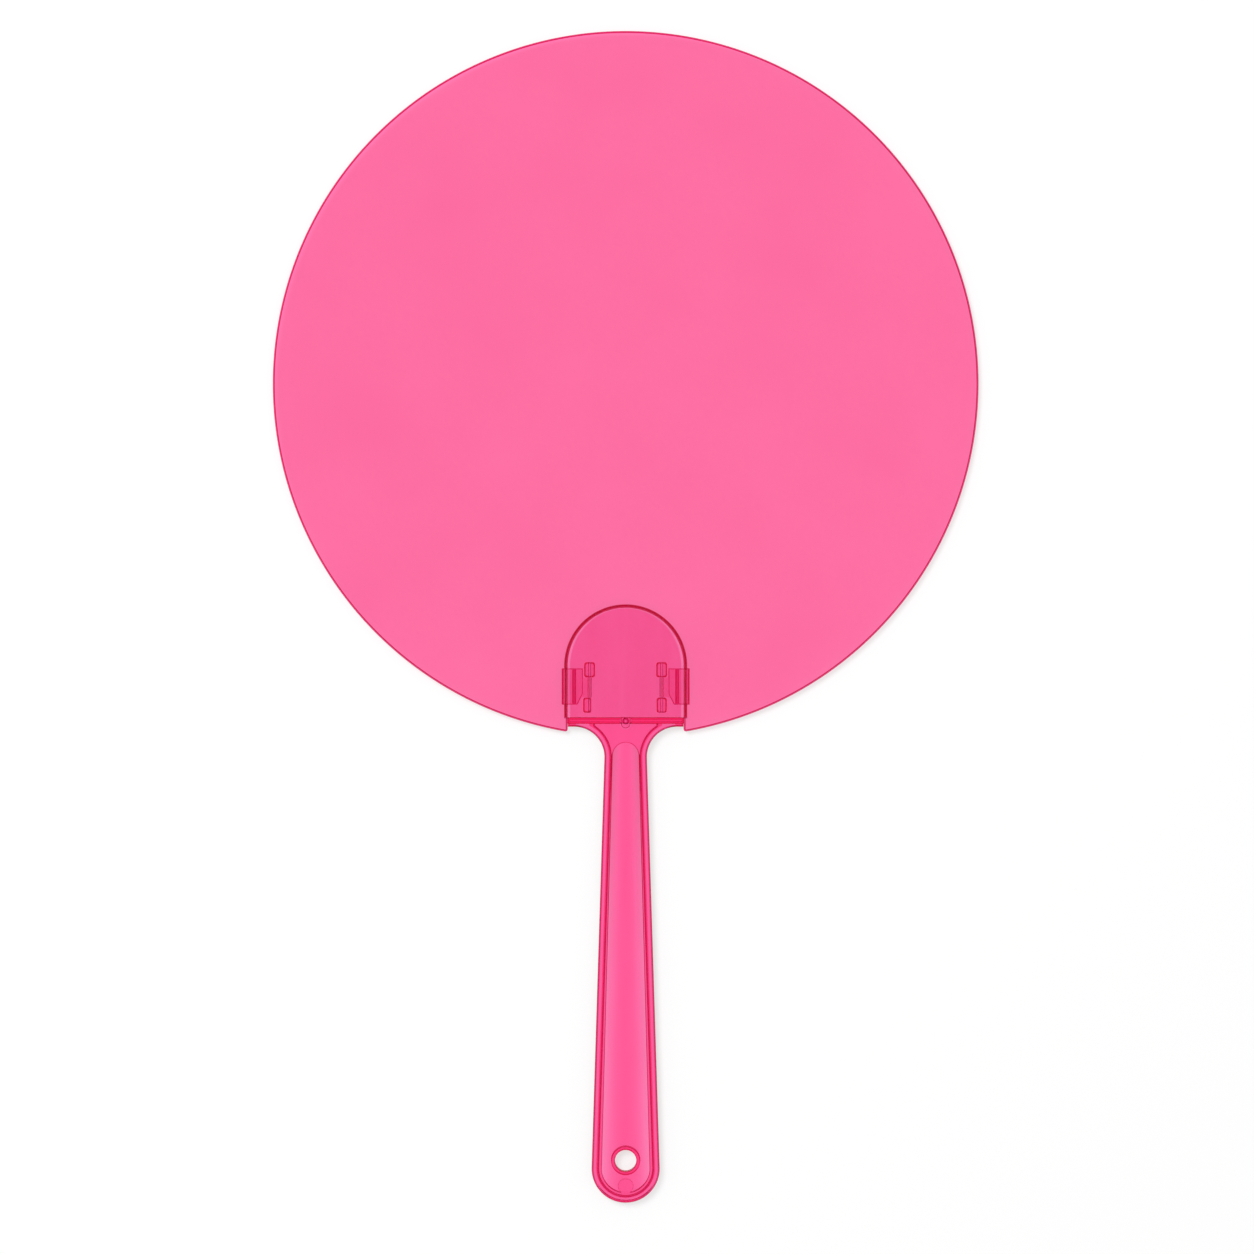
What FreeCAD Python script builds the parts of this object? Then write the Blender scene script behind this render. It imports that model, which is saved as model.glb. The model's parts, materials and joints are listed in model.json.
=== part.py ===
import FreeCAD, Part
import math
import os
import Sketcher

# Round hand fan: a tinted plastic disc slid between the two plates of a
# moulded handle and held there by two hinged side clips.
# Frame: the fan lies on its back, +X to the right, +Y from the handle towards
# the disc, +Z up towards the front. The origin is the bottom centre of the
# whole fan. Sizes are in millimetres.

VECTOR = FreeCAD.Vector
UP = VECTOR(0, 0, 1)

SIZES = [
    # disc
    ("disc_diameter", 210.0, "outside diameter of the sheet"),
    ("disc_thickness", 0.6, "thickness of the sheet"),
    ("disc_corner", 0.6, "rounding of the two corners of the arch cut-out"),
    ("arch_drop", 83.9, "disc centre down to the arch centre"),
    # head plates
    ("arch_radius", 18.3, "outside radius of both head plates"),
    ("arch_leg", 15.3, "straight leg below the arch centre"),
    ("plate_lap", 0.8, "how far the plates lap over the sheet"),
    ("edge_clearance", 0.1, "gap between the core and the cut-out"),
    ("sheet_clearance", 0.1, "gap between each plate and the sheet"),
    ("back_thickness", 0.8, "back head plate"),
    ("cover_thickness", 0.8, "front head plate"),
    ("cover_round", 0.5, "rounding of the front edge of the cover"),
    ("seam_clearance", 0.1, "gap between the cover and the shoulder bar"),
    ("ear_reach", 0.7, "how far the back ears stand past the plates"),
    # handle
    ("bar_height", 4.0, "full thickness of the handle, at the shoulder bar"),
    ("bar_round", 0.45, "rounding of the bar's long edges"),
    ("rim_height", 3.2, "thickness of the raised rim"),
    ("rim_width", 1.9, "width of the bar and of the raised rim"),
    ("rim_round", 0.75, "rounding of the rim's outer edges"),
    ("lip_round", 0.35, "rounding of the rim's inner edges"),
    ("web_thickness", 2.4, "floor inside the rim"),
    ("corner_round", 0.5, "plan rounding of the hollow's upper corners"),
    ("shoulder_drop", 0.9, "shoulder depth below the bar"),
    ("shoulder_flat", 2.1, "flat between shoulder end and neck curve"),
    ("neck_width", 12.6, "narrowest width"),
    ("end_width", 20.2, "width of the round end"),
    ("handle_reach", 159.6, "arch centre down to the end of the handle"),
    # recessed panel
    ("panel_top_drop", 22.6, "arch centre down to the panel's top edge"),
    ("panel_top_width", 8.0, "diameter of the panel's top arc"),
    ("ledge_width", 1.1, "ledge between rim and panel at the round end"),
    ("panel_step", 0.1, "drop from the ledge to the panel's middle line"),
    ("panel_crown", 0.35, "fall of the panel from middle line to edge"),
    # hanging hole and end pad
    ("hole_diameter", 6.4, "hanging hole"),
    ("hole_inset", 12.5, "hole centre from the end of the handle"),
    ("ring_width", 1.1, "raised ring round the hole"),
    ("ring_rise", 0.3, "ring height above the ledge"),
    ("pad_diameter", 4.5, "round pad near the end"),
    ("pad_inset", 4.8, "pad centre from the end of the handle"),
    # lug and rivet of the cover
    ("lug_width", 2.9, "width of the cover's oval lug"),
    ("lug_stretch", 1.5, "straight part of the lug's oval"),
    ("lug_offset", 1.1, "lug centre below the top of the shoulder bar"),
    ("lug_clearance", 0.12, "gap round the lug"),
    ("shank_diameter", 1.3, "rivet shank"),
    ("shank_fit", 0.02, "radial gap round the shank"),
    ("tail_gap", 0.4, "rivet tail above the back of the handle"),
    ("head_diameter", 2.0, "rivet head"),
    ("head_rise", 0.5, "height of the domed rivet head"),
    # clips
    ("hinge_inset", 7.6, "hinge line in from the plates' outer edge"),
    ("hinge_lift", 1.1, "hinge line above the cover"),
    ("hinge_top", 1.1, "upper end of the hinge above the arch centre"),
    ("knuckle_length", 4.5, "length of each knuckle"),
    ("knuckle_width", 3.4, "width of each knuckle"),
    ("knuckle_cap", 1.0, "knuckle top above the hinge line"),
    ("knuckle_round", 0.7, "rounding of the knuckles"),
    ("hinge_gap", 6.0, "space between the knuckles"),
    ("end_play", 0.15, "gap at each end of the clip's barrel"),
    ("pin_diameter", 0.8, "hinge pin"),
    ("pin_fit", 0.02, "radial gap between pin and knuckle"),
    ("barrel_fit", 0.05, "radial gap between pin and barrel"),
    ("barrel_wall", 0.2, "wall of the barrel round the pin's bore"),
    ("clip_top", 0.75, "upper end of the clip below the arch centre"),
    ("clip_length", 10.75, "length of the clip along the hinge"),
    ("clip_reach", 0.7, "clip's outer face past the plates"),
    ("clip_thickness", 0.6, "flap of the clip"),
    ("clip_clearance", 0.1, "gap between flap and cover"),
    ("lip_thickness", 0.8, "down-turned lip of the clip"),
    ("lip_gap", 0.05, "gap between lip and sheet"),
    ("knuckle_gap", 0.3, "gap between flap and knuckles"),
    ("ridge_width", 1.2, "finger ridge"),
    ("ridge_rise", 0.45, "height of the finger ridge"),
    ("ridge_place", 3.4, "finger ridge from the clip's outer face"),
    ("ridge_inset", 0.5, "finger ridge short of each end of the clip"),
    ("slant_width", 1.6, "width of the clip's slanted inner corner"),
    ("slant_length", 3.2, "length of the clip's slanted inner corner"),
    # cutting
    ("cut_over", 1.0, "how far a cut reaches past the piece"),
]

# Sizes that follow from the ones above.
DERIVED = [
    ("core_thickness", "disc_thickness + 2 * sheet_clearance"),
    ("cutout_radius", "arch_radius - plate_lap"),
    ("core_radius", "cutout_radius - edge_clearance"),
    ("middle_z", "bar_height / 2"),
    ("rim_low", "middle_z - rim_height / 2"),
    ("rim_high", "middle_z + rim_height / 2"),
    ("disc_z", "middle_z - disc_thickness / 2"),
    ("core_z", "middle_z - core_thickness / 2"),
    ("cover_z", "middle_z + core_thickness / 2"),
    ("cover_top", "cover_z + cover_thickness"),
    ("arch_y", "(handle_reach - disc_diameter / 2 - arch_drop) / 2"),
    ("shoulder_y", "arch_leg + rim_width + shoulder_drop"),
    ("neck_radius", "core_radius - neck_width / 2 - shoulder_flat"),
    ("neck_centre", "neck_width / 2 + neck_radius"),
    ("end_y", "handle_reach - end_width / 2"),
    ("pocket_depth", "(rim_height - web_thickness) / 2"),
    ("panel_radius", "end_width / 2 - rim_width - ledge_width"),
    ("crown_radius", "(panel_radius * panel_radius + panel_crown * panel_crown) / (2 * panel_crown)"),
    ("panel_rise", "web_thickness / 2 - panel_step"),
    ("lug_y", "arch_leg + lug_offset"),
    ("hinge_offset", "arch_radius - hinge_inset"),
    ("hinge_z", "cover_top + hinge_lift"),
    ("knuckle_low", "knuckle_length + hinge_gap"),
    ("hinge_span", "2 * knuckle_length + hinge_gap"),
    ("barrel_radius", "pin_diameter / 2 + barrel_fit + barrel_wall"),
    ("flap_low", "hinge_lift - clip_clearance"),
    ("flap_high", "flap_low - clip_thickness"),
    ("flap_inner", "knuckle_width / 2 + knuckle_gap"),
    ("clip_outer", "arch_radius + clip_reach - hinge_offset"),
    ("lip_inner", "clip_outer - lip_thickness"),
    ("lip_low", "hinge_z - middle_z - disc_thickness / 2 - lip_gap"),
    ("ridge_radius", "(ridge_width * ridge_width / 4 + ridge_rise * ridge_rise) / (2 * ridge_rise)"),
    ("bite_x", "arch_radius + clip_reach - lip_thickness - clip_clearance"),
]

doc = FreeCAD.newDocument("round_fan")
sheet = doc.addObject("Spreadsheet::Sheet", "Sizes")
size = {}


def fill_sheet():
    """Write every size into the sheet and keep its number for first guesses."""
    row = 1
    for alias, value, meaning in SIZES:
        sheet.set("A%d" % row, meaning)
        sheet.set("B%d" % row, str(value))
        sheet.setAlias("B%d" % row, alias)
        row += 1
    for alias, formula in DERIVED:
        sheet.set("A%d" % row, alias.replace("_", " "))
        sheet.set("B%d" % row, "=" + formula)
        sheet.setAlias("B%d" % row, alias)
        row += 1
    doc.recompute()
    for alias, _, _ in SIZES:
        size[alias] = float(getattr(sheet, alias))
    for alias, _ in DERIVED:
        size[alias] = float(getattr(sheet, alias))


def cell(formula):
    """Turn a formula in plain size names into one that points at the sheet."""
    words = ""
    result = ""
    for letter in formula + " ":
        if letter.isalnum() or letter == "_":
            words += letter
            continue
        result += "Sizes." + words if words in size else words
        words = ""
        result += letter
    return result.strip()


def bind(thing, path, formula):
    """Bind one property of an object to the sheet."""
    thing.setExpression(path, cell(formula))


def new_body(name, x="0", y="0", z="0"):
    """Make an empty body and place it from the sheet."""
    body = doc.addObject("PartDesign::Body", name)
    for axis, formula in zip("xyz", (x, y, z)):
        if formula != "0":
            bind(body, "Placement.Base." + axis, formula)
    return body


def new_sketch(body, name, plane, offset="0"):
    """Attach a sketch to one origin plane of its body, moved along its normal."""
    sketch = body.newObject("Sketcher::SketchObject", name)
    support = [item for item in body.Origin.OriginFeatures if item.Role == plane][0]
    sketch.AttachmentSupport = [(support, "")]
    sketch.MapMode = "FlatFace"
    if offset != "0":
        bind(sketch, "AttachmentOffset.Base.z", offset)
    return sketch


def add_line(sketch, start, end):
    """Add a line between two points of the sketch plane."""
    return sketch.addGeometry(Part.LineSegment(VECTOR(*start), VECTOR(*end)), False)


def add_arc(sketch, centre, radius, start, end):
    """Add an arc, counter-clockwise from start to end, in degrees."""
    circle = Part.Circle(VECTOR(*centre), UP, radius)
    return sketch.addGeometry(Part.ArcOfCircle(circle, math.radians(start), math.radians(end)), False)


def add_circle(sketch, centre, radius):
    """Add a full circle."""
    return sketch.addGeometry(Part.Circle(VECTOR(*centre), UP, radius), False)


def relate(sketch, kind, *places):
    """Add one geometric constraint."""
    sketch.addConstraint(Sketcher.Constraint(kind, *places))


def measure(sketch, kind, formula, value, *places):
    """Add one dimension and bind it to the sheet."""
    index = sketch.addConstraint(Sketcher.Constraint(kind, *places, value))
    name = "%s_%d" % (kind.lower(), index)
    sketch.renameConstraint(index, name)
    bind(sketch, "Constraints." + name, formula)


def across(sketch, geometry, point, formula, sign):
    """Hold a point at a sideways distance from the sketch origin."""
    value = worth(formula)
    if sign > 0:
        measure(sketch, "DistanceX", formula, value, -1, 1, geometry, point)
    else:
        measure(sketch, "DistanceX", formula, value, geometry, point, -1, 1)


def upward(sketch, geometry, point, formula, sign):
    """Hold a point at a height above (or below) the sketch origin."""
    value = worth(formula)
    if sign > 0:
        measure(sketch, "DistanceY", formula, value, -1, 1, geometry, point)
    else:
        measure(sketch, "DistanceY", formula, value, geometry, point, -1, 1)


def worth(formula):
    """Number of a formula made of size names, sums, differences, products."""
    spaced = formula
    for sign in "()+-*/":
        spaced = spaced.replace(sign, " %s " % sign)
    tokens = spaced.split()
    place = [0]

    def factor():
        token = tokens[place[0]]
        place[0] += 1
        if token == "(":
            inner = total()
            place[0] += 1
            return inner
        if token == "-":
            return -factor()
        return size[token] if token in size else float(token)

    def product():
        value = factor()
        while place[0] < len(tokens) and tokens[place[0]] in "*/":
            operator = tokens[place[0]]
            place[0] += 1
            other = factor()
            value = value * other if operator == "*" else value / other
        return value

    def total():
        value = product()
        while place[0] < len(tokens) and tokens[place[0]] in "+-":
            operator = tokens[place[0]]
            place[0] += 1
            other = product()
            value = value + other if operator == "+" else value - other
        return value

    return total()


def pad(body, sketch, name, length, turned=False):
    """Extrude a sketch along its normal, or against it."""
    feature = body.newObject("PartDesign::Pad", name)
    feature.Profile = sketch
    bind(feature, "Length", length)
    feature.Reversed = turned
    sketch.Visibility = False
    return feature


def pocket(body, sketch, name, depth, turned=False):
    """Cut a sketch into its body, against its normal unless turned."""
    feature = body.newObject("PartDesign::Pocket", name)
    feature.Profile = sketch
    bind(feature, "Length", depth)
    feature.Reversed = turned
    sketch.Visibility = False
    return feature


def round_edges(body, name, radius, chosen):
    """Round those edges of the body's last feature that the test picks."""
    doc.recompute()
    last = body.Tip
    names = []
    for index, edge in enumerate(last.Shape.Edges):
        if chosen(edge):
            names.append("Edge%d" % (index + 1))
    feature = body.newObject("PartDesign::Fillet", name)
    feature.Base = (last, names)
    bind(feature, "Radius", radius)
    return feature


def near(first, second, slack=1e-4):
    """Tell whether two numbers are the same size."""
    return abs(first - second) < slack


def arch_outline(sketch, radius, leg):
    """Draw an arch: half circle over two straight legs and a flat foot."""
    r = worth(radius)
    low = -worth(leg)
    arc = add_arc(sketch, (0, 0), r, 0, 180)
    left = add_line(sketch, (-r, 0), (-r, low))
    foot = add_line(sketch, (-r, low), (r, low))
    right = add_line(sketch, (r, low), (r, 0))
    relate(sketch, "Coincident", arc, 3, -1, 1)
    relate(sketch, "Tangent", arc, 2, left, 1)
    relate(sketch, "Coincident", left, 2, foot, 1)
    relate(sketch, "Coincident", foot, 2, right, 1)
    relate(sketch, "Tangent", right, 2, arc, 1)
    relate(sketch, "Vertical", left)
    relate(sketch, "Vertical", right)
    relate(sketch, "Horizontal", foot)
    measure(sketch, "Radius", radius, r, arc)
    upward(sketch, foot, 1, leg, -1)


def oval_outline(sketch, width, stretch, drop):
    """Draw an upright oval on the middle line: two half circles and two straights."""
    r = worth(width) / 2
    half = worth(stretch) / 2
    middle = -worth(drop)
    top = add_arc(sketch, (0, middle + half), r, 0, 180)
    low = add_arc(sketch, (0, middle - half), r, 180, 360)
    left = add_line(sketch, (-r, middle + half), (-r, middle - half))
    right = add_line(sketch, (r, middle - half), (r, middle + half))
    relate(sketch, "Tangent", top, 2, left, 1)
    relate(sketch, "Tangent", left, 2, low, 1)
    relate(sketch, "Tangent", low, 2, right, 1)
    relate(sketch, "Tangent", right, 2, top, 1)
    relate(sketch, "Vertical", left)
    relate(sketch, "PointOnObject", top, 3, -2)
    relate(sketch, "PointOnObject", low, 3, -2)
    measure(sketch, "Radius", "(%s) / 2" % width, r, top)
    upward(sketch, top, 3, "%s - (%s) / 2" % (drop, stretch), -1)
    upward(sketch, low, 3, "%s + (%s) / 2" % (drop, stretch), -1)


def rectangle(sketch, x_near, x_far, y_low, y_high, side=1):
    """Draw a rectangle whose four sides are held by (formula, sign) heights and
    by sideways formulas measured to the given side."""
    x0 = side * worth(x_near)
    x1 = side * worth(x_far)
    y0 = y_low[1] * worth(y_low[0])
    y1 = y_high[1] * worth(y_high[0])
    low = add_line(sketch, (x0, y0), (x1, y0))
    far = add_line(sketch, (x1, y0), (x1, y1))
    high = add_line(sketch, (x1, y1), (x0, y1))
    close = add_line(sketch, (x0, y1), (x0, y0))
    ring = [low, far, high, close]
    for index, line in enumerate(ring):
        relate(sketch, "Coincident", line, 2, ring[(index + 1) % 4], 1)
    relate(sketch, "Horizontal", low)
    relate(sketch, "Horizontal", high)
    relate(sketch, "Vertical", far)
    relate(sketch, "Vertical", close)
    across(sketch, low, 1, x_near, side)
    across(sketch, low, 2, x_far, side)
    upward(sketch, low, 1, y_low[0], y_low[1])
    upward(sketch, high, 1, y_high[0], y_high[1])


def strip(sketch, half_width, low, high):
    """Draw a rectangle across the middle line, between two drops below the origin."""
    x = worth(half_width)
    y_low = -worth(low)
    y_high = -worth(high)
    foot = add_line(sketch, (-x, y_low), (x, y_low))
    right = add_line(sketch, (x, y_low), (x, y_high))
    head = add_line(sketch, (x, y_high), (-x, y_high))
    left = add_line(sketch, (-x, y_high), (-x, y_low))
    ring = [foot, right, head, left]
    for index, line in enumerate(ring):
        relate(sketch, "Coincident", line, 2, ring[(index + 1) % 4], 1)
    relate(sketch, "Horizontal", foot)
    relate(sketch, "Horizontal", head)
    relate(sketch, "Vertical", right)
    relate(sketch, "Vertical", left)
    across(sketch, foot, 1, half_width, -1)
    across(sketch, foot, 2, half_width, 1)
    upward(sketch, foot, 1, low, -1)
    upward(sketch, head, 1, high, -1)


def tapered_slot(sketch, top_radius, top_centre, end_radius, end_centre):
    """Draw two arcs on the middle line joined by their outer tangents."""
    r0 = worth(top_radius)
    y0 = -worth(top_centre)
    r1 = worth(end_radius)
    y1 = -worth(end_centre)
    lean = math.asin((r1 - r0) / (y0 - y1))
    turn = math.degrees(lean)
    top = add_arc(sketch, (0, y0), r0, turn, 180 - turn)
    end = add_arc(sketch, (0, y1), r1, 180 - turn, 360 + turn)
    flanks = []
    for side in (-1, 1):
        start = (side * r0 * math.cos(lean), y0 + r0 * math.sin(lean))
        finish = (side * r1 * math.cos(lean), y1 + r1 * math.sin(lean))
        flanks.append(add_line(sketch, start, finish))
    relate(sketch, "Tangent", flanks[0], 1, top, 2)
    relate(sketch, "Tangent", flanks[0], 2, end, 1)
    relate(sketch, "Tangent", flanks[1], 1, top, 1)
    relate(sketch, "Tangent", flanks[1], 2, end, 2)
    for arc, radius, centre in ((top, top_radius, top_centre), (end, end_radius, end_centre)):
        relate(sketch, "PointOnObject", arc, 3, -2)
        measure(sketch, "Radius", radius, worth(radius), arc)
        upward(sketch, arc, 3, centre, -1)


def grip_outline(sketch, inset, top, corner):
    """Draw the handle outline below the head, moved in by an inset.

    The neck curves, the tapering flanks and the round end are moved in; the
    top edge is given by itself. With a corner the outline starts at the
    shoulder ends, without one the neck curves run up to the top edge."""
    shift = worth(inset)
    r_neck = size["neck_radius"] + shift
    r_end = size["end_width"] / 2 - shift
    x_neck = size["neck_centre"]
    y_neck = -(size["shoulder_y"] + size["neck_radius"])
    y_end = -size["end_y"]
    y_top = -worth(top)
    neck_radius = "neck_radius + " + inset
    end_radius = "end_width / 2 - " + inset
    # The flank is the inner tangent of the neck curve and the round end.
    gap = math.hypot(x_neck, y_neck - y_end)
    tilt = math.atan2(y_neck - y_end, x_neck)
    swing = math.acos((r_neck + r_end) / gap)
    facing = tilt - swing
    turn = math.degrees(facing)
    end = add_arc(sketch, (0, y_end), r_end, 180 - turn, 360 + turn)
    relate(sketch, "PointOnObject", end, 3, -2)
    upward(sketch, end, 3, "end_y", -1)
    measure(sketch, "Radius", end_radius, r_end, end)
    tops = []
    for side in (1, -1):
        if corner:
            high = 90.0
        else:
            high = math.degrees(math.asin((y_top - y_neck) / r_neck))
            high = 180 - high
        low = 180 + turn
        if side > 0:
            neck = add_arc(sketch, (x_neck, y_neck), r_neck, high, low)
            upper, lower = 1, 2
            upper_angle = math.radians(high)
        else:
            neck = add_arc(sketch, (-x_neck, y_neck), r_neck, 180 - low, 180 - high)
            upper, lower = 2, 1
            upper_angle = math.radians(high)
        start = (side * (x_neck - r_neck * math.cos(facing)), y_neck - r_neck * math.sin(facing))
        finish = (side * r_end * math.cos(facing), y_end + r_end * math.sin(facing))
        flank = add_line(sketch, start, finish)
        relate(sketch, "Tangent", neck, lower, flank, 1)
        relate(sketch, "Tangent", flank, 2, end, 2 if side > 0 else 1)
        across(sketch, neck, 3, "neck_centre", side)
        upward(sketch, neck, 3, "shoulder_y + neck_radius", -1)
        measure(sketch, "Radius", neck_radius, r_neck, neck)
        tip = (side * (x_neck + r_neck * math.cos(upper_angle)), y_neck + r_neck * math.sin(upper_angle))
        if corner:
            x_side = side * size["core_radius"]
            flat = add_line(sketch, tip, (x_side, tip[1]))
            edge = add_line(sketch, (x_side, tip[1]), (x_side, y_top))
            relate(sketch, "Tangent", neck, upper, flat, 1)
            relate(sketch, "Horizontal", flat)
            relate(sketch, "Coincident", flat, 2, edge, 1)
            relate(sketch, "Vertical", edge)
            across(sketch, edge, 1, "core_radius", side)
            tops.append((edge, 2, (x_side, y_top)))
        else:
            tops.append((neck, upper, tip))
    bar = add_line(sketch, tops[0][2], tops[1][2])
    relate(sketch, "Coincident", bar, 1, tops[0][0], tops[0][1])
    relate(sketch, "Coincident", bar, 2, tops[1][0], tops[1][1])
    relate(sketch, "Horizontal", bar)
    upward(sketch, bar, 1, top, -1)


def make_disc():
    """Sheet with an arch cut-out that fits round the head's core."""
    body = new_body("fan_disc", "0", "arch_y", "disc_z")
    sketch = new_sketch(body, "disc_outline", "XY_Plane")
    radius = size["disc_diameter"] / 2
    cut = size["cutout_radius"]
    centre = size["arch_drop"]
    low = centre - math.sqrt(radius * radius - cut * cut)
    lean = math.degrees(math.asin(cut / radius))
    outside = add_arc(sketch, (0, centre), radius, -90 + lean, 270 - lean)
    left = add_line(sketch, (-cut, low), (-cut, 0))
    arch = add_arc(sketch, (0, 0), cut, 0, 180)
    right = add_line(sketch, (cut, 0), (cut, low))
    relate(sketch, "PointOnObject", outside, 3, -2)
    relate(sketch, "Coincident", arch, 3, -1, 1)
    relate(sketch, "Coincident", outside, 2, left, 1)
    relate(sketch, "Tangent", left, 2, arch, 2)
    relate(sketch, "Tangent", right, 1, arch, 1)
    relate(sketch, "Coincident", right, 2, outside, 1)
    relate(sketch, "Vertical", left)
    relate(sketch, "Vertical", right)
    measure(sketch, "Diameter", "disc_diameter", 2 * radius, outside)
    upward(sketch, outside, 3, "arch_drop", 1)
    measure(sketch, "Radius", "cutout_radius", cut, arch)
    pad(body, sketch, "disc_sheet", "disc_thickness")

    def at_corner(edge):
        box = edge.BoundBox
        flat = near(box.XMax, box.XMin) and near(box.YMax, box.YMin)
        return flat and box.YMax < 0 and near(abs(box.Center.x), cut)

    round_edges(body, "disc_corners", "disc_corner", at_corner)
    return body


def make_handle():
    """Grip, neck, shoulder bar, back head plate and core in one moulding."""
    body = new_body("handle_block", "0", "arch_y", "0")
    outline = new_sketch(body, "grip_outline", "XY_Plane", "rim_low")
    grip_outline(outline, "0", "arch_leg", True)
    pad(body, outline, "grip", "rim_height")
    front = new_sketch(body, "front_floor", "XY_Plane", "rim_high")
    grip_outline(front, "rim_width", "arch_leg + rim_width", False)
    pocket(body, front, "front_hollow", "pocket_depth")
    back = new_sketch(body, "back_floor", "XY_Plane", "rim_low")
    grip_outline(back, "rim_width", "arch_leg + rim_width", False)
    pocket(body, back, "back_hollow", "pocket_depth", True)

    bar_low = -worth("arch_leg + rim_width")
    levels = (size["rim_low"], size["rim_high"])

    def in_hollow_corner(edge):
        box = edge.BoundBox
        upright = near(box.XLength, 0) and near(box.YLength, 0)
        return upright and near(box.YMax, bar_low)

    round_edges(body, "hollow_corners", "corner_round", in_hollow_corner)

    def walls_of(edge):
        """Heights of the upright faces that meet a level edge of the rim below the bar."""
        box = edge.BoundBox
        level = near(box.ZLength, 0) and any(near(box.ZMax, height) for height in levels)
        if not level or box.YMax > bar_low + 0.01:
            return []
        faces = body.Tip.Shape.ancestorsOfType(edge, Part.Face)
        return [face.BoundBox.ZLength for face in faces if face.BoundBox.ZLength > 0.01]

    def on_lip(edge):
        return any(near(height, size["pocket_depth"]) for height in walls_of(edge))

    def on_rim(edge):
        return any(near(height, size["rim_height"]) for height in walls_of(edge))

    round_edges(body, "rim_lips", "min(lip_round, pocket_depth - 0.05)", on_lip)
    round_edges(body, "rim_beads", "min(rim_round, rim_height * 0.4)", on_rim)

    bar = new_sketch(body, "bar_outline", "XY_Plane")
    strip(bar, "core_radius", "arch_leg + rim_width", "arch_leg")
    pad(body, bar, "shoulder_bar", "bar_height")

    def on_bar(edge):
        box = edge.BoundBox
        flat = near(box.ZLength, 0) and near(box.YLength, 0)
        return flat and (near(box.ZMax, 0) or near(box.ZMax, size["bar_height"]))

    round_edges(body, "bar_edges", "min(bar_round, middle_z - rim_height / 2 - 0.02)", on_bar)

    plate = new_sketch(body, "back_plate_outline", "XY_Plane", "core_z - back_thickness")
    arch_outline(plate, "arch_radius", "arch_leg")
    pad(body, plate, "back_plate", "back_thickness")
    for side, word in ((-1, "left"), (1, "right")):
        ear = new_sketch(body, word + "_ear_outline", "XY_Plane", "core_z - back_thickness")
        rectangle(ear, "core_radius", "arch_radius + ear_reach",
                  ("clip_top + clip_length", -1), ("clip_top", -1), side)
        pad(body, ear, word + "_ear", "back_thickness")
    core = new_sketch(body, "core_outline", "XY_Plane", "core_z")
    arch_outline(core, "core_radius", "arch_leg")
    pad(body, core, "core", "core_thickness")

    seat = new_sketch(body, "lug_seat_outline", "XY_Plane", "bar_height")
    oval_outline(seat, "lug_width + 2 * lug_clearance", "lug_stretch", "lug_y")
    pocket(body, seat, "lug_seat", "bar_height - cover_z")
    doc.recompute()

    hollows = []
    for word, sign in (("front", 1), ("back", -1)):
        block = new_body(word + "_panel_block", "0", "arch_y", "middle_z")
        shape = new_sketch(block, word + "_panel_outline", "XY_Plane")
        tapered_slot(shape, "panel_top_width / 2", "panel_top_drop + panel_top_width / 2",
                     "panel_radius", "end_y")
        pad(block, shape, word + "_panel_prism", "rim_height / 2", sign < 0)
        drum = doc.addObject("Part::Cylinder", word + "_panel_crown")
        bind(drum, "Radius", "crown_radius")
        bind(drum, "Height", "handle_reach")
        drum.Placement.Rotation = FreeCAD.Rotation(VECTOR(1, 0, 0), 90)
        bind(drum, "Placement.Base.y", "arch_y")
        if sign > 0:
            bind(drum, "Placement.Base.z", "middle_z + panel_rise - crown_radius")
        else:
            bind(drum, "Placement.Base.z", "middle_z - panel_rise + crown_radius")
        hollow = doc.addObject("Part::Cut", word + "_panel_hollow")
        hollow.Base = block
        hollow.Tool = drum
        hollows.append(hollow)
    solid = body
    for hollow in hollows:
        cut = doc.addObject("Part::Cut", "handle_less_" + hollow.Name)
        cut.Base = solid
        cut.Tool = hollow
        solid = cut

    boss = doc.addObject("Part::Cylinder", "hole_ring")
    bind(boss, "Radius", "hole_diameter / 2 + ring_width")
    bind(boss, "Height", "web_thickness + 2 * ring_rise")
    bind(boss, "Placement.Base.y", "arch_y - handle_reach + hole_inset")
    bind(boss, "Placement.Base.z", "middle_z - web_thickness / 2 - ring_rise")
    button = doc.addObject("Part::Cylinder", "end_pad")
    bind(button, "Radius", "pad_diameter / 2")
    bind(button, "Height", "web_thickness")
    bind(button, "Placement.Base.y", "arch_y - handle_reach + pad_inset")
    bind(button, "Placement.Base.z", "middle_z - web_thickness / 2")
    joined = doc.addObject("Part::MultiFuse", "handle_with_ring")
    joined.Shapes = [solid, boss, button]
    joined.Refine = True

    hole = doc.addObject("Part::Cylinder", "hanging_hole")
    bind(hole, "Radius", "hole_diameter / 2")
    bind(hole, "Height", "2 * bar_height")
    bind(hole, "Placement.Base.y", "arch_y - handle_reach + hole_inset")
    bind(hole, "Placement.Base.z", "-middle_z")
    drilled = doc.addObject("Part::Cut", "handle_with_hole")
    drilled.Base = joined
    drilled.Tool = hole
    bore = doc.addObject("Part::Cylinder", "rivet_bore")
    bind(bore, "Radius", "shank_diameter / 2 + shank_fit")
    bind(bore, "Height", "2 * bar_height")
    bind(bore, "Placement.Base.y", "arch_y - lug_y")
    bind(bore, "Placement.Base.z", "-middle_z")
    finished = doc.addObject("Part::Cut", "handle")
    finished.Base = drilled
    finished.Tool = bore
    return finished


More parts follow.
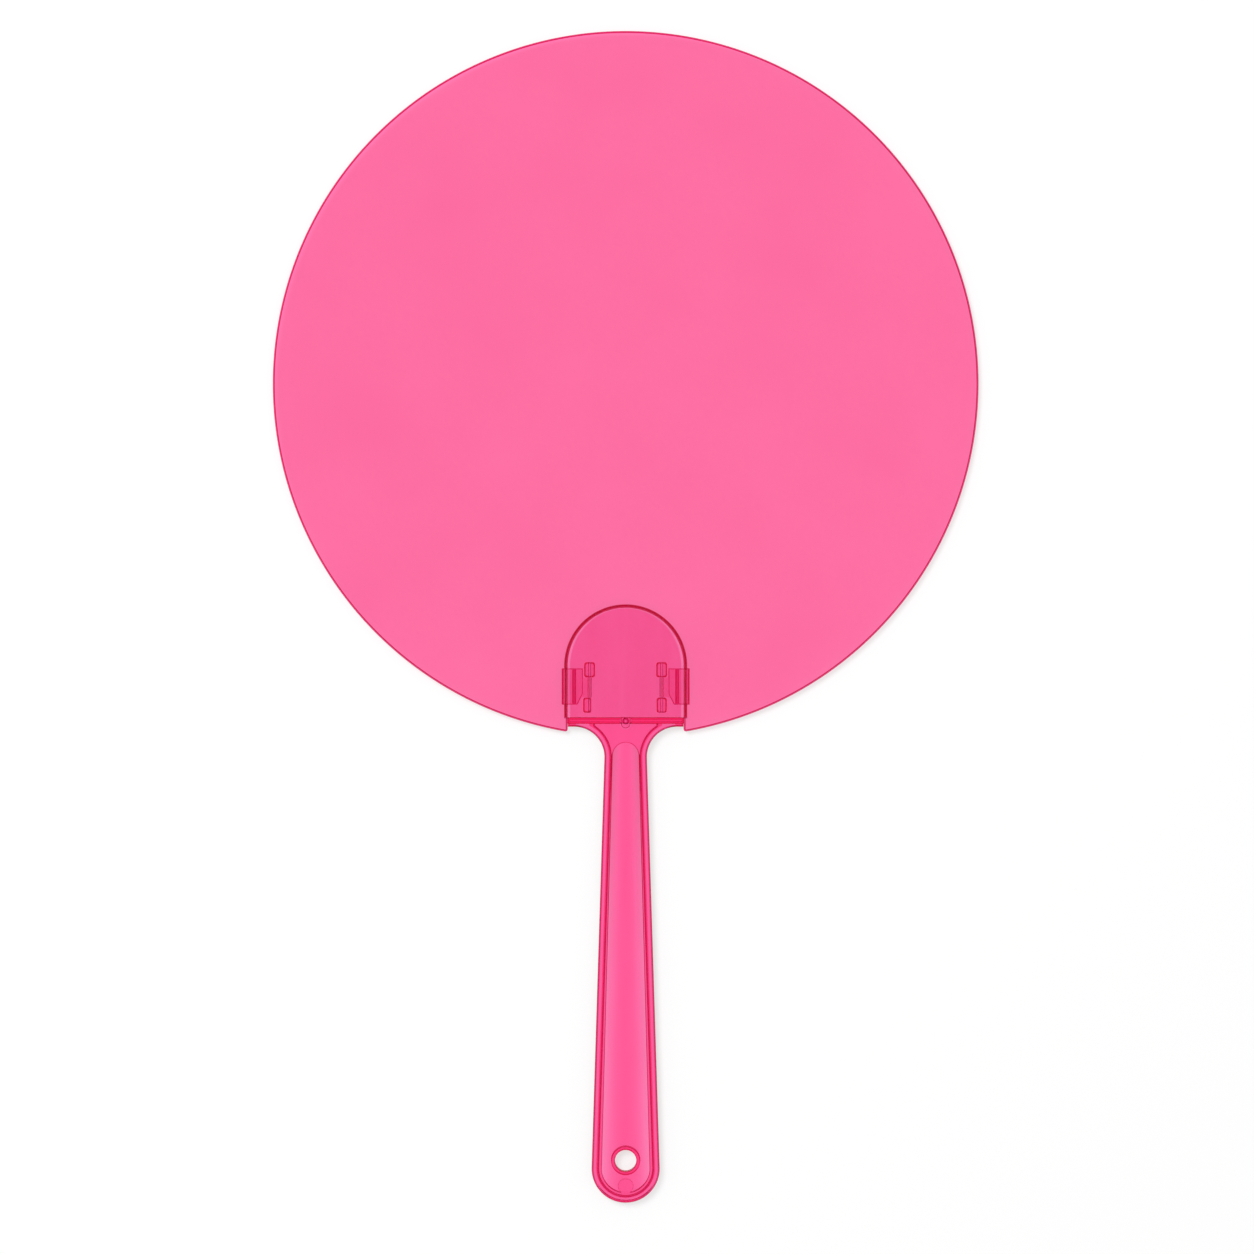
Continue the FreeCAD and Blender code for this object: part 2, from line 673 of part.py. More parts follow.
def make_cover():
    """Front head plate with its lug and the four hinge knuckles."""
    body = new_body("head_cover", "0", "arch_y", "cover_z")
    outline = new_sketch(body, "cover_outline", "XY_Plane")
    arch_outline(outline, "arch_radius", "arch_leg - seam_clearance")
    pad(body, outline, "cover_plate", "cover_thickness")
    thick = size["cover_thickness"]
    foot = -worth("arch_leg - seam_clearance")

    def on_front_edge(edge):
        box = edge.BoundBox
        level = near(box.ZMax, thick) and near(box.ZMin, thick)
        return level and not near(box.YMax, foot)

    round_edges(body, "cover_edge", "min(cover_round, cover_thickness * 0.75)", on_front_edge)
    for side, word in ((-1, "left"), (1, "right")):
        bite = new_sketch(body, word + "_lip_bite_outline", "XY_Plane", "cover_thickness")
        rectangle(bite, "bite_x", "arch_radius + cut_over",
                  ("clip_top + clip_length + clip_clearance", -1),
                  ("clip_top - clip_clearance", -1), side)
        pocket(body, bite, word + "_lip_bite", "cover_thickness")
    lug = new_sketch(body, "lug_outline", "XY_Plane")
    oval_outline(lug, "lug_width", "lug_stretch", "lug_y")
    pad(body, lug, "lug", "cover_thickness")

    for word, drop in (("upper", "0"), ("lower", "knuckle_low")):
        for side, hand in ((-1, "left"), (1, "right")):
            name = "%s_%s_knuckle" % (hand, word)
            shape = new_sketch(body, name + "_outline", "XZ_Plane", drop + " - hinge_top")
            knuckle_outline(shape, side)
            pad(body, shape, name, "knuckle_length")

    half = size["knuckle_width"] / 2

    def on_knuckle_corner(edge):
        box = edge.BoundBox
        upright = near(box.XLength, 0) and near(box.YLength, 0)
        aside = abs(abs(box.Center.x) - size["hinge_offset"])
        return upright and near(box.ZMin, thick) and near(aside, half)

    round_edges(body, "knuckle_corners", "knuckle_round", on_knuckle_corner)

    bores = new_sketch(body, "pin_bores_outline", "XZ_Plane", "-hinge_top - cut_over")
    height = worth("cover_thickness + hinge_lift")
    for side in (-1, 1):
        ring = add_circle(bores, (side * size["hinge_offset"], height), size["pin_diameter"] / 2)
        across(bores, ring, 3, "hinge_offset", side)
        upward(bores, ring, 3, "cover_thickness + hinge_lift", 1)
        measure(bores, "Radius", "pin_diameter / 2 + pin_fit",
                worth("pin_diameter / 2 + pin_fit"), ring)
    pocket(body, bores, "pin_bores", "hinge_span + 2 * cut_over", True)

    hole = new_sketch(body, "rivet_hole_outline", "XY_Plane", "cover_thickness")
    ring = add_circle(hole, (0, -size["lug_y"]), size["shank_diameter"] / 2)
    relate(hole, "PointOnObject", ring, 3, -2)
    upward(hole, ring, 3, "lug_y", -1)
    measure(hole, "Radius", "shank_diameter / 2 + shank_fit",
            worth("shank_diameter / 2 + shank_fit"), ring)
    pocket(body, hole, "rivet_hole", "cover_thickness")
    return body


def knuckle_outline(sketch, side):
    """Draw a block with two rounded upper corners over the hinge line."""
    half = size["knuckle_width"] / 2
    middle = side * size["hinge_offset"]
    low = size["cover_thickness"]
    high = worth("cover_thickness + hinge_lift + knuckle_cap")
    r = size["knuckle_round"]
    left = add_line(sketch, (middle - half, low), (middle - half, high - r))
    first = add_arc(sketch, (middle - half + r, high - r), r, 90, 180)
    top = add_line(sketch, (middle - half + r, high), (middle + half - r, high))
    second = add_arc(sketch, (middle + half - r, high - r), r, 0, 90)
    right = add_line(sketch, (middle + half, high - r), (middle + half, low))
    foot = add_line(sketch, (middle + half, low), (middle - half, low))
    relate(sketch, "Tangent", left, 2, first, 2)
    relate(sketch, "Tangent", first, 1, top, 1)
    relate(sketch, "Tangent", top, 2, second, 2)
    relate(sketch, "Tangent", second, 1, right, 1)
    relate(sketch, "Coincident", right, 2, foot, 1)
    relate(sketch, "Coincident", foot, 2, left, 1)
    relate(sketch, "Vertical", left)
    relate(sketch, "Vertical", right)
    relate(sketch, "Horizontal", top)
    relate(sketch, "Horizontal", foot)
    measure(sketch, "Radius", "knuckle_round", r, first)
    measure(sketch, "Radius", "knuckle_round", r, second)
    upward(sketch, foot, 1, "cover_thickness", 1)
    upward(sketch, top, 1, "cover_thickness + hinge_lift + knuckle_cap", 1)
    inner, outer = (right, left) if side < 0 else (left, right)
    across(sketch, inner, 1, "hinge_offset - knuckle_width / 2", side)
    across(sketch, outer, 1, "hinge_offset + knuckle_width / 2", side)


def make_rivet():
    """Rivet with a domed head that holds the cover's lug down."""
    body = new_body("cover_rivet", "0", "arch_y - lug_y", "cover_top")
    sketch = new_sketch(body, "rivet_profile", "XZ_Plane")
    shank = size["shank_diameter"] / 2
    head = size["head_diameter"] / 2
    rise = size["head_rise"]
    tail = -worth("cover_top - tail_gap")
    radius = (head * head + rise * rise) / (2 * rise)
    lean = math.degrees(math.asin(head / radius))
    axis = add_line(sketch, (0, tail), (0, rise))
    dome = add_arc(sketch, (0, rise - radius), radius, 90 - lean, 90)
    under = add_line(sketch, (head, 0), (shank, 0))
    wall = add_line(sketch, (shank, 0), (shank, tail))
    end = add_line(sketch, (shank, tail), (0, tail))
    relate(sketch, "Coincident", axis, 2, dome, 2)
    relate(sketch, "Coincident", dome, 1, under, 1)
    relate(sketch, "Coincident", under, 2, wall, 1)
    relate(sketch, "Coincident", wall, 2, end, 1)
    relate(sketch, "Coincident", end, 2, axis, 1)
    relate(sketch, "PointOnObject", axis, 1, -2)
    relate(sketch, "Vertical", axis)
    relate(sketch, "PointOnObject", dome, 3, -2)
    relate(sketch, "PointOnObject", under, 1, -1)
    relate(sketch, "Horizontal", under)
    relate(sketch, "Vertical", wall)
    relate(sketch, "Horizontal", end)
    upward(sketch, axis, 1, "cover_top - tail_gap", -1)
    upward(sketch, axis, 2, "head_rise", 1)
    across(sketch, under, 1, "head_diameter / 2", 1)
    across(sketch, under, 2, "shank_diameter / 2", 1)
    turned = body.newObject("PartDesign::Revolution", "rivet_turned")
    turned.Profile = sketch
    turned.ReferenceAxis = (sketch, ["V_Axis"])
    turned.Angle = 360
    return body


def make_clip(word, side):
    """Side clip: barrel on the hinge pin, flap, down-turned lip, finger ridge.

    Its own origin lies on the hinge line at the height of the arch centre."""
    body = new_body(word + "_clip", "%d * hinge_offset" % side, "arch_y", "hinge_z")
    flap = new_sketch(body, word + "_flap_profile", "XZ_Plane", "clip_top")
    rectangle(flap, "flap_inner", "clip_outer", ("flap_low", -1), ("flap_high", -1), side)
    pad(body, flap, word + "_flap", "clip_length")
    lip = new_sketch(body, word + "_lip_profile", "XZ_Plane", "clip_top")
    rectangle(lip, "lip_inner", "clip_outer", ("lip_low", -1), ("flap_high", -1), side)
    pad(body, lip, word + "_lip", "clip_length")

    start = "knuckle_length + end_play - hinge_top"
    reach = "hinge_gap - 2 * end_play"
    arm = new_sketch(body, word + "_arm_profile", "XZ_Plane", start)
    rectangle(arm, "0", "flap_inner + clip_thickness", ("flap_low", -1), ("flap_high", -1), side)
    pad(body, arm, word + "_arm", reach)
    barrel = new_sketch(body, word + "_barrel_profile", "XZ_Plane", start)
    ring = add_circle(barrel, (0, 0), size["barrel_radius"])
    relate(barrel, "Coincident", ring, 3, -1, 1)
    measure(barrel, "Radius", "barrel_radius", size["barrel_radius"], ring)
    pad(body, barrel, word + "_barrel", reach)

    ridge = new_sketch(body, word + "_ridge_profile", "XZ_Plane", "clip_top + ridge_inset")
    ridge_outline(ridge, side)
    pad(body, ridge, word + "_ridge", "clip_length - 2 * ridge_inset")

    corner = new_sketch(body, word + "_corner_outline", "XY_Plane")
    triangle(corner, side)
    pocket(body, corner, word + "_corner_trim", "hinge_lift")

    bore = new_sketch(body, word + "_bore_profile", "XZ_Plane", start + " - cut_over")
    ring = add_circle(bore, (0, 0), size["pin_diameter"] / 2)
    relate(bore, "Coincident", ring, 3, -1, 1)
    measure(bore, "Radius", "pin_diameter / 2 + barrel_fit",
            worth("pin_diameter / 2 + barrel_fit"), ring)
    pocket(body, bore, word + "_bore", reach + " + 2 * cut_over", True)
    return body


def ridge_outline(sketch, side):
    """Draw the half-round finger ridge standing on the flap."""
    half = size["ridge_width"] / 2
    rise = size["ridge_rise"]
    low = -size["flap_high"]
    middle = side * worth("clip_outer - ridge_place")
    radius = size["ridge_radius"]
    lean = math.degrees(math.asin(min(1.0, half / radius)))
    if rise > half:
        lean = 180 - lean
    foot = add_line(sketch, (middle - half, low), (middle + half, low))
    arc = add_arc(sketch, (middle, low + rise - radius), radius, 90 - lean, 90 + lean)
    relate(sketch, "Coincident", foot, 2, arc, 1)
    relate(sketch, "Coincident", foot, 1, arc, 2)
    relate(sketch, "Horizontal", foot)
    near_end, far_end = (2, 1) if side < 0 else (1, 2)
    across(sketch, foot, near_end, "clip_outer - ridge_place - ridge_width / 2", side)
    across(sketch, foot, far_end, "clip_outer - ridge_place + ridge_width / 2", side)
    upward(sketch, foot, 1, "flap_high", -1)
    measure(sketch, "Radius", "ridge_radius", radius, arc)


def triangle(sketch, side):
    """Draw the cut that slants the clip's lower inner corner."""
    x_near = "flap_inner - knuckle_gap"
    x_far = "flap_inner + slant_width"
    low = "clip_top + clip_length"
    high = "clip_top + clip_length - slant_length"
    points = [
        (side * worth(x_near), -worth(low)),
        (side * worth(x_far), -worth(low)),
        (side * worth(x_near), -worth(high)),
    ]
    lines = []
    for index in range(3):
        lines.append(add_line(sketch, points[index], points[(index + 1) % 3]))
    for index in range(3):
        relate(sketch, "Coincident", lines[index], 2, lines[(index + 1) % 3], 1)
    relate(sketch, "Horizontal", lines[0])
    relate(sketch, "Vertical", lines[2])
    across(sketch, lines[0], 1, x_near, side)
    across(sketch, lines[0], 2, x_far, side)
    upward(sketch, lines[0], 1, low, -1)
    upward(sketch, lines[2], 1, high, -1)


def make_pin(word, side):
    """Hinge pin pressed into its two knuckles."""
    rod = doc.addObject("Part::Cylinder", word + "_clip_pin")
    bind(rod, "Radius", "pin_diameter / 2")
    bind(rod, "Height", "hinge_span")
    rod.Placement.Rotation = FreeCAD.Rotation(VECTOR(1, 0, 0), 90)
    bind(rod, "Placement.Base.x", "%d * hinge_offset" % side)
    bind(rod, "Placement.Base.y", "arch_y + hinge_top")
    bind(rod, "Placement.Base.z", "hinge_z")
    return rod


def check(parts):
    """Stop the build when any object or any sub-part is not sound."""
    faults = []
    for thing in doc.Objects:
        if "Invalid" in thing.State or "Error" in thing.State:
            faults.append("%s is %s" % (thing.Name, ", ".join(thing.State)))
        if thing.TypeId == "Sketcher::SketchObject" and thing.solve() != 0:
            faults.append("%s does not solve" % thing.Name)
    for label, thing in parts:
        shape = thing.Shape
        if shape.isNull() or not shape.isValid() or len(shape.Solids) != 1:
            faults.append("%s is not one valid solid" % label)
    if faults:
        raise RuntimeError("; ".join(faults))


def main():
    """Build every sub-part and write one file for each."""
    fill_sheet()
    parts = [
        ("fan_disc", make_disc()),
        ("handle", make_handle()),
        ("head_cover", make_cover()),
        ("cover_rivet", make_rivet()),
        ("left_clip", make_clip("left", -1)),
        ("right_clip", make_clip("right", 1)),
        ("left_clip_pin", make_pin("left", -1)),
        ("right_clip_pin", make_pin("right", 1)),
    ]
    for label, thing in parts:
        thing.Label = label
    doc.recompute()
    check(parts)
    os.makedirs("parts", exist_ok=True)
    for label, thing in parts:
        thing.Shape.exportStep("parts/%s.step" % label)
        box = thing.Shape.optimalBoundingBox()
        print("%-15s %9.2f mm3  x %.2f..%.2f  y %.2f..%.2f  z %.2f..%.2f" % (
            label, thing.Shape.Volume, box.XMin, box.XMax, box.YMin, box.YMax, box.ZMin, box.ZMax))


main()
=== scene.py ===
"""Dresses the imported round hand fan: a tinted sheet in the arched head of a moulded handle."""

import json
import logging
from collections.abc import Callable
from dataclasses import dataclass, replace
from enum import Enum
from math import acos, asin, atan2, cos, degrees, hypot, pi, radians, sin, sqrt

import bmesh
import bpy
from mathutils import Matrix, Vector


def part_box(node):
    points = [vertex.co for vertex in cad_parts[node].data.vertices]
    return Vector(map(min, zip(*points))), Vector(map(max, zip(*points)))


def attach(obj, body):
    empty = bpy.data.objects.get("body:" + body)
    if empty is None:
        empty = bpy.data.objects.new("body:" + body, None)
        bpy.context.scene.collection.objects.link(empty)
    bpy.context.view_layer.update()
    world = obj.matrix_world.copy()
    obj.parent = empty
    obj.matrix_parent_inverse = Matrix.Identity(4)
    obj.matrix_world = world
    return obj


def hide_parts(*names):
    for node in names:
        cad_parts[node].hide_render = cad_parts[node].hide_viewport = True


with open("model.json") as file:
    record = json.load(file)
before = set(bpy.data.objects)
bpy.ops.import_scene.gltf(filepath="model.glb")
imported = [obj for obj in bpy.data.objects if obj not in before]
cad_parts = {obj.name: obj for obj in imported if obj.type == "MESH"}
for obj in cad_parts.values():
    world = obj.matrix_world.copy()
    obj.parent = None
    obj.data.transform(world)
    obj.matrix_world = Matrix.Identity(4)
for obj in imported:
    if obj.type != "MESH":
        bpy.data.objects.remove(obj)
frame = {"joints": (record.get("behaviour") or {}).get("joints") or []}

LOG = logging.getLogger("round_fan")
MILLIMETRES = 1000.0
# Name of the corner attribute that holds the painted edge shade: a darker base colour on steep faces and
# edge bands, which stands in for the dark lines that refraction gives at edges.
PAINTED_EDGE_SHADE = "painted_edge_shade"

# Distances in millimetres under which points are one, heights are level and a point is on the axis.
SAME_PLACE = 1e-4
SAME_LEVEL = 1e-3
ON_AXIS = 1e-6
# A face is level when the upright part of its normal is above this.
LEVEL_RISE = 0.99
# How far a cutter reaches past the face that it cuts through.
OVERSHOOT = 1.0
# Longest runs along the arcs of small forms.
FINE_STEP = 0.15
FINEST_STEP = 0.1
# Bevel profile of a plain round.
ROUND = 0.5
# Turn in degrees between two faces from which their edge is shaded sharp.
SHARP_TURN = 40.0
# How strongly the larger faces set the shading.
SHADING_WEIGHT = 90
# Fineness of the noises, the part of their range that is used, and the strength of the grain.
NOISE_DETAIL = 3.0
NOISE_MIDDLE = (0.3, 0.7)
GRAIN_STRENGTH = 0.5
# Places of the mixing node's sockets: its share, two numbers, two colours and the mixed colour.
MIX_SHARE = 0
MIX_NUMBERS = (2, 3)
MIX_COLOURS = (6, 7)
MIX_RESULT = 2

Colour = tuple[float, float, float]
Point = tuple[float, float]
Weight = Callable[[bmesh.types.BMFace], float]
Choice = Callable[[bmesh.types.BMEdge], bool]
Socket = bpy.types.NodeSocket
Inputs = dict[str | int, Socket | float | tuple[float, ...]]


def full_painted_shade(face: bmesh.types.BMFace) -> float:
    """Gives every face the full painted edge shade."""
    return 1.0


def put(name: str, data: bpy.types.ID) -> bpy.types.Object:
    """Puts a new object into the scene.

    Args:
        name: Name of the object.
        data: Its mesh, lamp or camera.

    Returns:
        The object.
    """
    holder = bpy.data.objects.new(name, data)
    bpy.context.scene.collection.objects.link(holder)
    return holder


class Side(Enum):
    """Side of the fan, seen from the front."""

    LEFT = -1
    RIGHT = 1

    @property
    def word(self) -> str:
        """The side's name in small letters."""
        return self.name.lower()


class Joining(Enum):
    """How one solid acts on another."""

    ADD = "UNION"
    CUT = "DIFFERENCE"


class Outline:
    """Closed flat outline of straight runs and arcs, in millimetres."""

    STEP = 0.35
    FEWEST_RUNS = 3
    CORNER_REACH = 0.01

    def __init__(self, x: float, y: float) -> None:
        """Puts the pen down at the first corner.

        Args:
            x: Place of the corner across.
            y: Place of the corner along.
        """
        self.mesh = bmesh.new()
        self.first = self.mesh.verts.new((x, y, 0.0))
        self.pen = self.first

    def line(self, x: float, y: float) -> "Outline":
        """Draws a straight run to a point.

        Args:
            x: Place of the point across.
            y: Place of the point along.

        Returns:
            The outline itself.
        """
        corner = self.mesh.verts.new((x, y, 0.0))
        self.mesh.edges.new((self.pen, corner))
        self.pen = corner
        return self

    def arc(self, x: float, y: float, turn: float, step: float = STEP) -> "Outline":
        """Swings the pen round a centre.

        Args:
            x: Place of the centre across.
            y: Place of the centre along.
            turn: Angle in degrees, anticlockwise.
            step: Longest run along the arc.

        Returns:
            The outline itself.
        """
        centre = Vector((x, y, 0.0))
        length = (self.pen.co - centre).length * abs(radians(turn))
        swung = bmesh.ops.spin(
            self.mesh,
            geom=[self.pen],
            cent=centre,
            axis=(0.0, 0.0, 1.0),
            angle=radians(turn),
            steps=max(self.FEWEST_RUNS, round(length / step)),
        )
        self.pen = next(item for item in swung["geom_last"] if isinstance(item, bmesh.types.BMVert))
        return self

    def round_corners(self, places: list[Point], radius: float, segments: int = 6) -> "Outline":
        """Rounds the corners that lie at the given places.

        Args:
            places: Corners to round.
            radius: Radius of the rounding.
            segments: Runs along each rounding.

        Returns:
            The outline itself.
        """
        self.close()
        corners = [
            vertex
            for vertex in self.mesh.verts
            if any((vertex.co - Vector((x, y, 0.0))).length < self.CORNER_REACH for x, y in places)
        ]
        bmesh.ops.bevel(
            self.mesh,
            geom=corners,
            offset=radius,
            segments=segments,
            profile=ROUND,
            affect="VERTICES",
            material=-1,
        )
        return self

    def join_ends(self) -> None:
        """Joins the pen to the first corner."""
        if (self.pen.co - self.first.co).length > SAME_PLACE:
            self.mesh.edges.new((self.pen, self.first))
        bmesh.ops.remove_doubles(self.mesh, verts=self.mesh.verts[:], dist=SAME_PLACE)

    def close(self) -> None:
        """Fills the outline with one face, once."""
        if not self.mesh.faces:
            self.join_ends()
            bmesh.ops.contextual_create(self.mesh, geom=self.mesh.edges[:])


class Solid:
    """Closed mesh under construction, in millimetres."""

    def __init__(self, mesh: bmesh.types.BMesh) -> None:
        """Takes over a closed mesh."""
        self.mesh = mesh

    @classmethod
    def prism(cls, outline: Outline, low: float, high: float) -> "Solid":
        """Raises an outline into a plate.

        Args:
            outline: Outline of the plate.
            low: Height of its underside.
            high: Height of its top.

        Returns:
            The plate.
        """
        outline.close()
        mesh = outline.mesh
        bmesh.ops.translate(mesh, verts=mesh.verts[:], vec=(0.0, 0.0, low))
        raised = bmesh.ops.extrude_face_region(mesh, geom=mesh.faces[:])
        top = [item for item in raised["geom"] if isinstance(item, bmesh.types.BMVert)]
        bmesh.ops.translate(mesh, verts=top, vec=(0.0, 0.0, high - low))
        return cls(mesh).turn_out()

    @classmethod
    def lathe(cls, profile: Outline, steps: int) -> "Solid":
        """Turns a closed profile, drawn against the upright axis, into a round solid.

        Args:
            profile: Half profile with radius across and height along.
            steps: Runs round the solid.

        Returns:
            The round solid.
        """
        profile.join_ends()
        mesh = profile.mesh
        on_axis = [edge for edge in mesh.edges if all(abs(v.co.x) < ON_AXIS for v in edge.verts)]
        bmesh.ops.delete(mesh, geom=on_axis, context="EDGES")
        solid = cls(mesh).stand()
        bmesh.ops.spin(
            mesh,
            geom=mesh.edges[:] + mesh.verts[:],
            axis=(0.0, 0.0, 1.0),
            angle=2 * pi,
            steps=steps,
            use_merge=True,
        )
        bmesh.ops.remove_doubles(mesh, verts=mesh.verts[:], dist=SAME_PLACE)
        return solid.turn_out()

    @classmethod
    def rod(cls, radius: float, low: float, high: float, steps: int = 32) -> "Solid":
        """Makes a plain upright rod on the axis, between two heights."""
        profile = Outline(0.0, low).line(radius, low).line(radius, high).line(0.0, high)
        return cls.lathe(profile, steps)

    @classmethod
    def soft_rod(cls, radius: float, low: float, high: float, soft: float, steps: int) -> "Solid":
        """Makes an upright rod on the axis with slanted edges.

        Args:
            radius: Radius of the rod.
            low: Height of its foot.
            high: Height of its top.
            soft: Width of the slants.
            steps: Runs round the rod.

        Returns:
            The rod.
        """
        profile = Outline(0.0, low).line(radius - soft, low).line(radius, low + soft)
        profile.line(radius, high - soft).line(radius - soft, high).line(0.0, high)
        return cls.lathe(profile, steps)

    def sink(self, face: bmesh.types.BMFace, steps: list[Point]) -> "Solid":
        """Steps a face inwards and outwards along its normal.

        Args:
            face: Face to move.
            steps: Inset and depth of each step.

        Returns:
            The solid itself.
        """
        for inset, depth in steps:
            bmesh.ops.inset_region(
                self.mesh,
                faces=[face],
                thickness=inset,
                depth=depth,
                use_boundary=True,
                use_even_offset=True,
            )
        return self

    def level_faces(self, height: float) -> list[bmesh.types.BMFace]:
        """Finds the level faces at a height.

        Args:
            height: Height of the faces.

        Returns:
            The faces.
        """
        return [
            face
            for face in self.mesh.faces
            if abs(face.calc_center_median().z - height) < SAME_LEVEL and abs(face.normal.z) > LEVEL_RISE
        ]

    def flat_face(self, height: float) -> bmesh.types.BMFace:
        """Finds the largest level face at a height."""
        return max(self.level_faces(height), key=lambda face: face.calc_area())

    def flare(self, height: float, width: float, depth: float, steps: int, rise: float) -> "Solid":
        """Widens the top of a cutter in a quarter round and raises it straight from there."""
        return self.sink(self.flat_face(height), quarter(-width, depth, steps) + [(0.0, rise)])

    def round_off(self, radius: float, segments: int, chosen: Choice) -> "Solid":
        """Rounds the chosen edges.

        Args:
            radius: Radius of the rounding.
            segments: Strips along the rounding.
            chosen: Says whether an edge is rounded.

        Returns:
            The solid itself.
        """
        edges = [edge for edge in self.mesh.edges if chosen(edge)]
        bmesh.ops.bevel(
            self.mesh,
            geom=edges,
            offset=radius,
            segments=segments,
            profile=ROUND,
            affect="EDGES",
            material=-1,
        )
        return self

    def move(self, x: float, y: float, z: float) -> "Solid":
        """Shifts the solid across, along and upwards."""
        bmesh.ops.translate(self.mesh, verts=self.mesh.verts[:], vec=(x, y, z))
        return self

    def turn_out(self) -> "Solid":
        """Turns the faces' normals outwards."""
        bmesh.ops.recalc_face_normals(self.mesh, faces=self.mesh.faces[:])
        return self

    def mirror(self, x: float, y: float, z: float) -> "Solid":
        """Mirrors the solid along the axes whose sign is negative."""
        bmesh.ops.scale(self.mesh, verts=self.mesh.verts[:], vec=(x, y, z))
        return self.turn_out()

    def stand(self) -> "Solid":
        """Turns a plate drawn flat so that its outline stands across the fan."""
        bmesh.ops.rotate(self.mesh, verts=self.mesh.verts[:], matrix=Matrix.Rotation(pi / 2, 3, "X"))
        return self

    def combine(self, other: "Solid", joining: Joining) -> "Solid":
        """Adds another solid to this one or cuts it away.

        Args:
            other: Solid that acts on this one, which is used up.
            joining: Whether it is added or cut away.

        Returns:
            The solid itself.
        """
        holders = []
        for solid in (self, other):
            data = bpy.data.meshes.new("scratch")
            solid.mesh.to_mesh(data)
            holders.append(put("scratch", data))
        tool = holders[0].modifiers.new("tool", "BOOLEAN")
        tool.operation = joining.value
        tool.solver = "EXACT"
        tool.object = holders[1]
        bpy.context.view_layer.update()
        shaped = holders[0].evaluated_get(bpy.context.evaluated_depsgraph_get())
        self.mesh.clear()
        self.mesh.from_mesh(shaped.to_mesh())
        shaped.to_mesh_clear()
        other.mesh.free()
        for holder in holders:
            data = holder.data
            bpy.data.objects.remove(holder)
            bpy.data.meshes.remove(data)
        return self

    def add(self, other: "Solid") -> "Solid":
        """Adds another solid to this one."""
        return self.combine(other, Joining.ADD)

    def cut(self, other: "Solid") -> "Solid":
        """Cuts another solid away from this one."""
        return self.combine(other, Joining.CUT)

    def painted_shade_bands(self, heights: tuple[float, ...], width: float) -> set[bmesh.types.BMFace]:
        """Divides a narrow band off along the edges of the level faces at some heights, where the painted
        edge shade is full.

        Args:
            heights: Heights of the faces.
            width: Width of the bands.

        Returns:
            The faces of the bands.
        """
        bands: set[bmesh.types.BMFace] = set()
        for height in heights:
            made = bmesh.ops.inset_region(
                self.mesh,
                faces=self.level_faces(height),
                thickness=width,
                use_boundary=True,
                use_even_offset=True,
            )
            bands.update(made["faces"])
        return bands

    def paint_edge_shade(self, bands: set[bmesh.types.BMFace], weight: Weight) -> None:
        """Writes the painted edge shade, standing in for the dark lines that refraction gives at edges:
        full on the bands and where a face is steep.

        Args:
            bands: Level faces along the edges, which get the full painted shade.
            weight: Share of the painted shade that a face gets.
        """
        gentle = 0.995
        steep = 0.95
        shade_layer = self.mesh.loops.layers.float.new(PAINTED_EDGE_SHADE)
        for face in self.mesh.faces:
            slope = 1.0 if face in bands else (gentle - abs(face.normal.z)) / (gentle - steep)
            share = weight(face) * min(1.0, max(0.0, slope))
            for loop in face.loops:
                loop[shade_layer] = share

    def piece(
        self, name: str, heights: tuple[float, ...] = (), width: float = 0.0, weight: Weight = full_painted_shade
    ) -> bpy.types.Object:
        """Makes the finished object, in metres and with its place in its mesh.

        Args:
            name: Name of the piece.
            heights: Heights of the level faces that get a band of painted edge shade along their edges.
            width: Width of those bands.
            weight: Share of the painted edge shade that a face gets.

        Returns:
            The object.
        """
        mesh = self.mesh
        bmesh.ops.remove_doubles(mesh, verts=mesh.verts[:], dist=2 * SAME_PLACE)
        bmesh.ops.dissolve_degenerate(mesh, edges=mesh.edges[:], dist=SAME_PLACE)
        self.turn_out()
        self.paint_edge_shade(self.painted_shade_bands(heights, width), weight)
        open_edges = sum(1 for edge in mesh.edges if not edge.is_manifold)
        bmesh.ops.scale(mesh, verts=mesh.verts[:], vec=(1 / MILLIMETRES,) * 3)
        data = bpy.data.meshes.new(name)
        mesh.to_mesh(data)
        mesh.free()
        data.shade_smooth()
        data.set_sharp_from_angle(angle=radians(SHARP_TURN))
        holder = put(name, data)
        shading = holder.modifiers.new("even_shading", "WEIGHTED_NORMAL")
        shading.keep_sharp = True
        shading.weight = SHADING_WEIGHT
        LOG.info("%s: %d faces, %d open edges", name, len(data.polygons), open_edges)
        return holder


def quarter(across: float, depth: float, steps: int) -> list[Point]:
    """Divides a quarter round, from upright to level, into insets and depths.

    Args:
        across: Width of the round, negative where it flares out.
        depth: Height of the round.
        steps: Number of strips.

    Returns:
        Inset and depth of each strip.
    """
    angles = [pi / 2 * index / steps for index in range(steps + 1)]
    return [
        (across * (cos(start) - cos(end)), depth * (sin(end) - sin(start)))
        for start, end in zip(angles, angles[1:])
    ]


def level_edges(*heights: float) -> Choice:
    """Makes a choice of the edges that lie level at one of some heights.

    Args:
        heights: Heights of the edges.

    Returns:
        A function that says whether an edge is chosen.
    """

    def chosen(edge: bmesh.types.BMEdge) -> bool:
        """True for an edge with both ends at one of the heights."""
        return any(all(abs(v.co.z - height) < SAME_LEVEL for v in edge.verts) for height in heights)

    return chosen


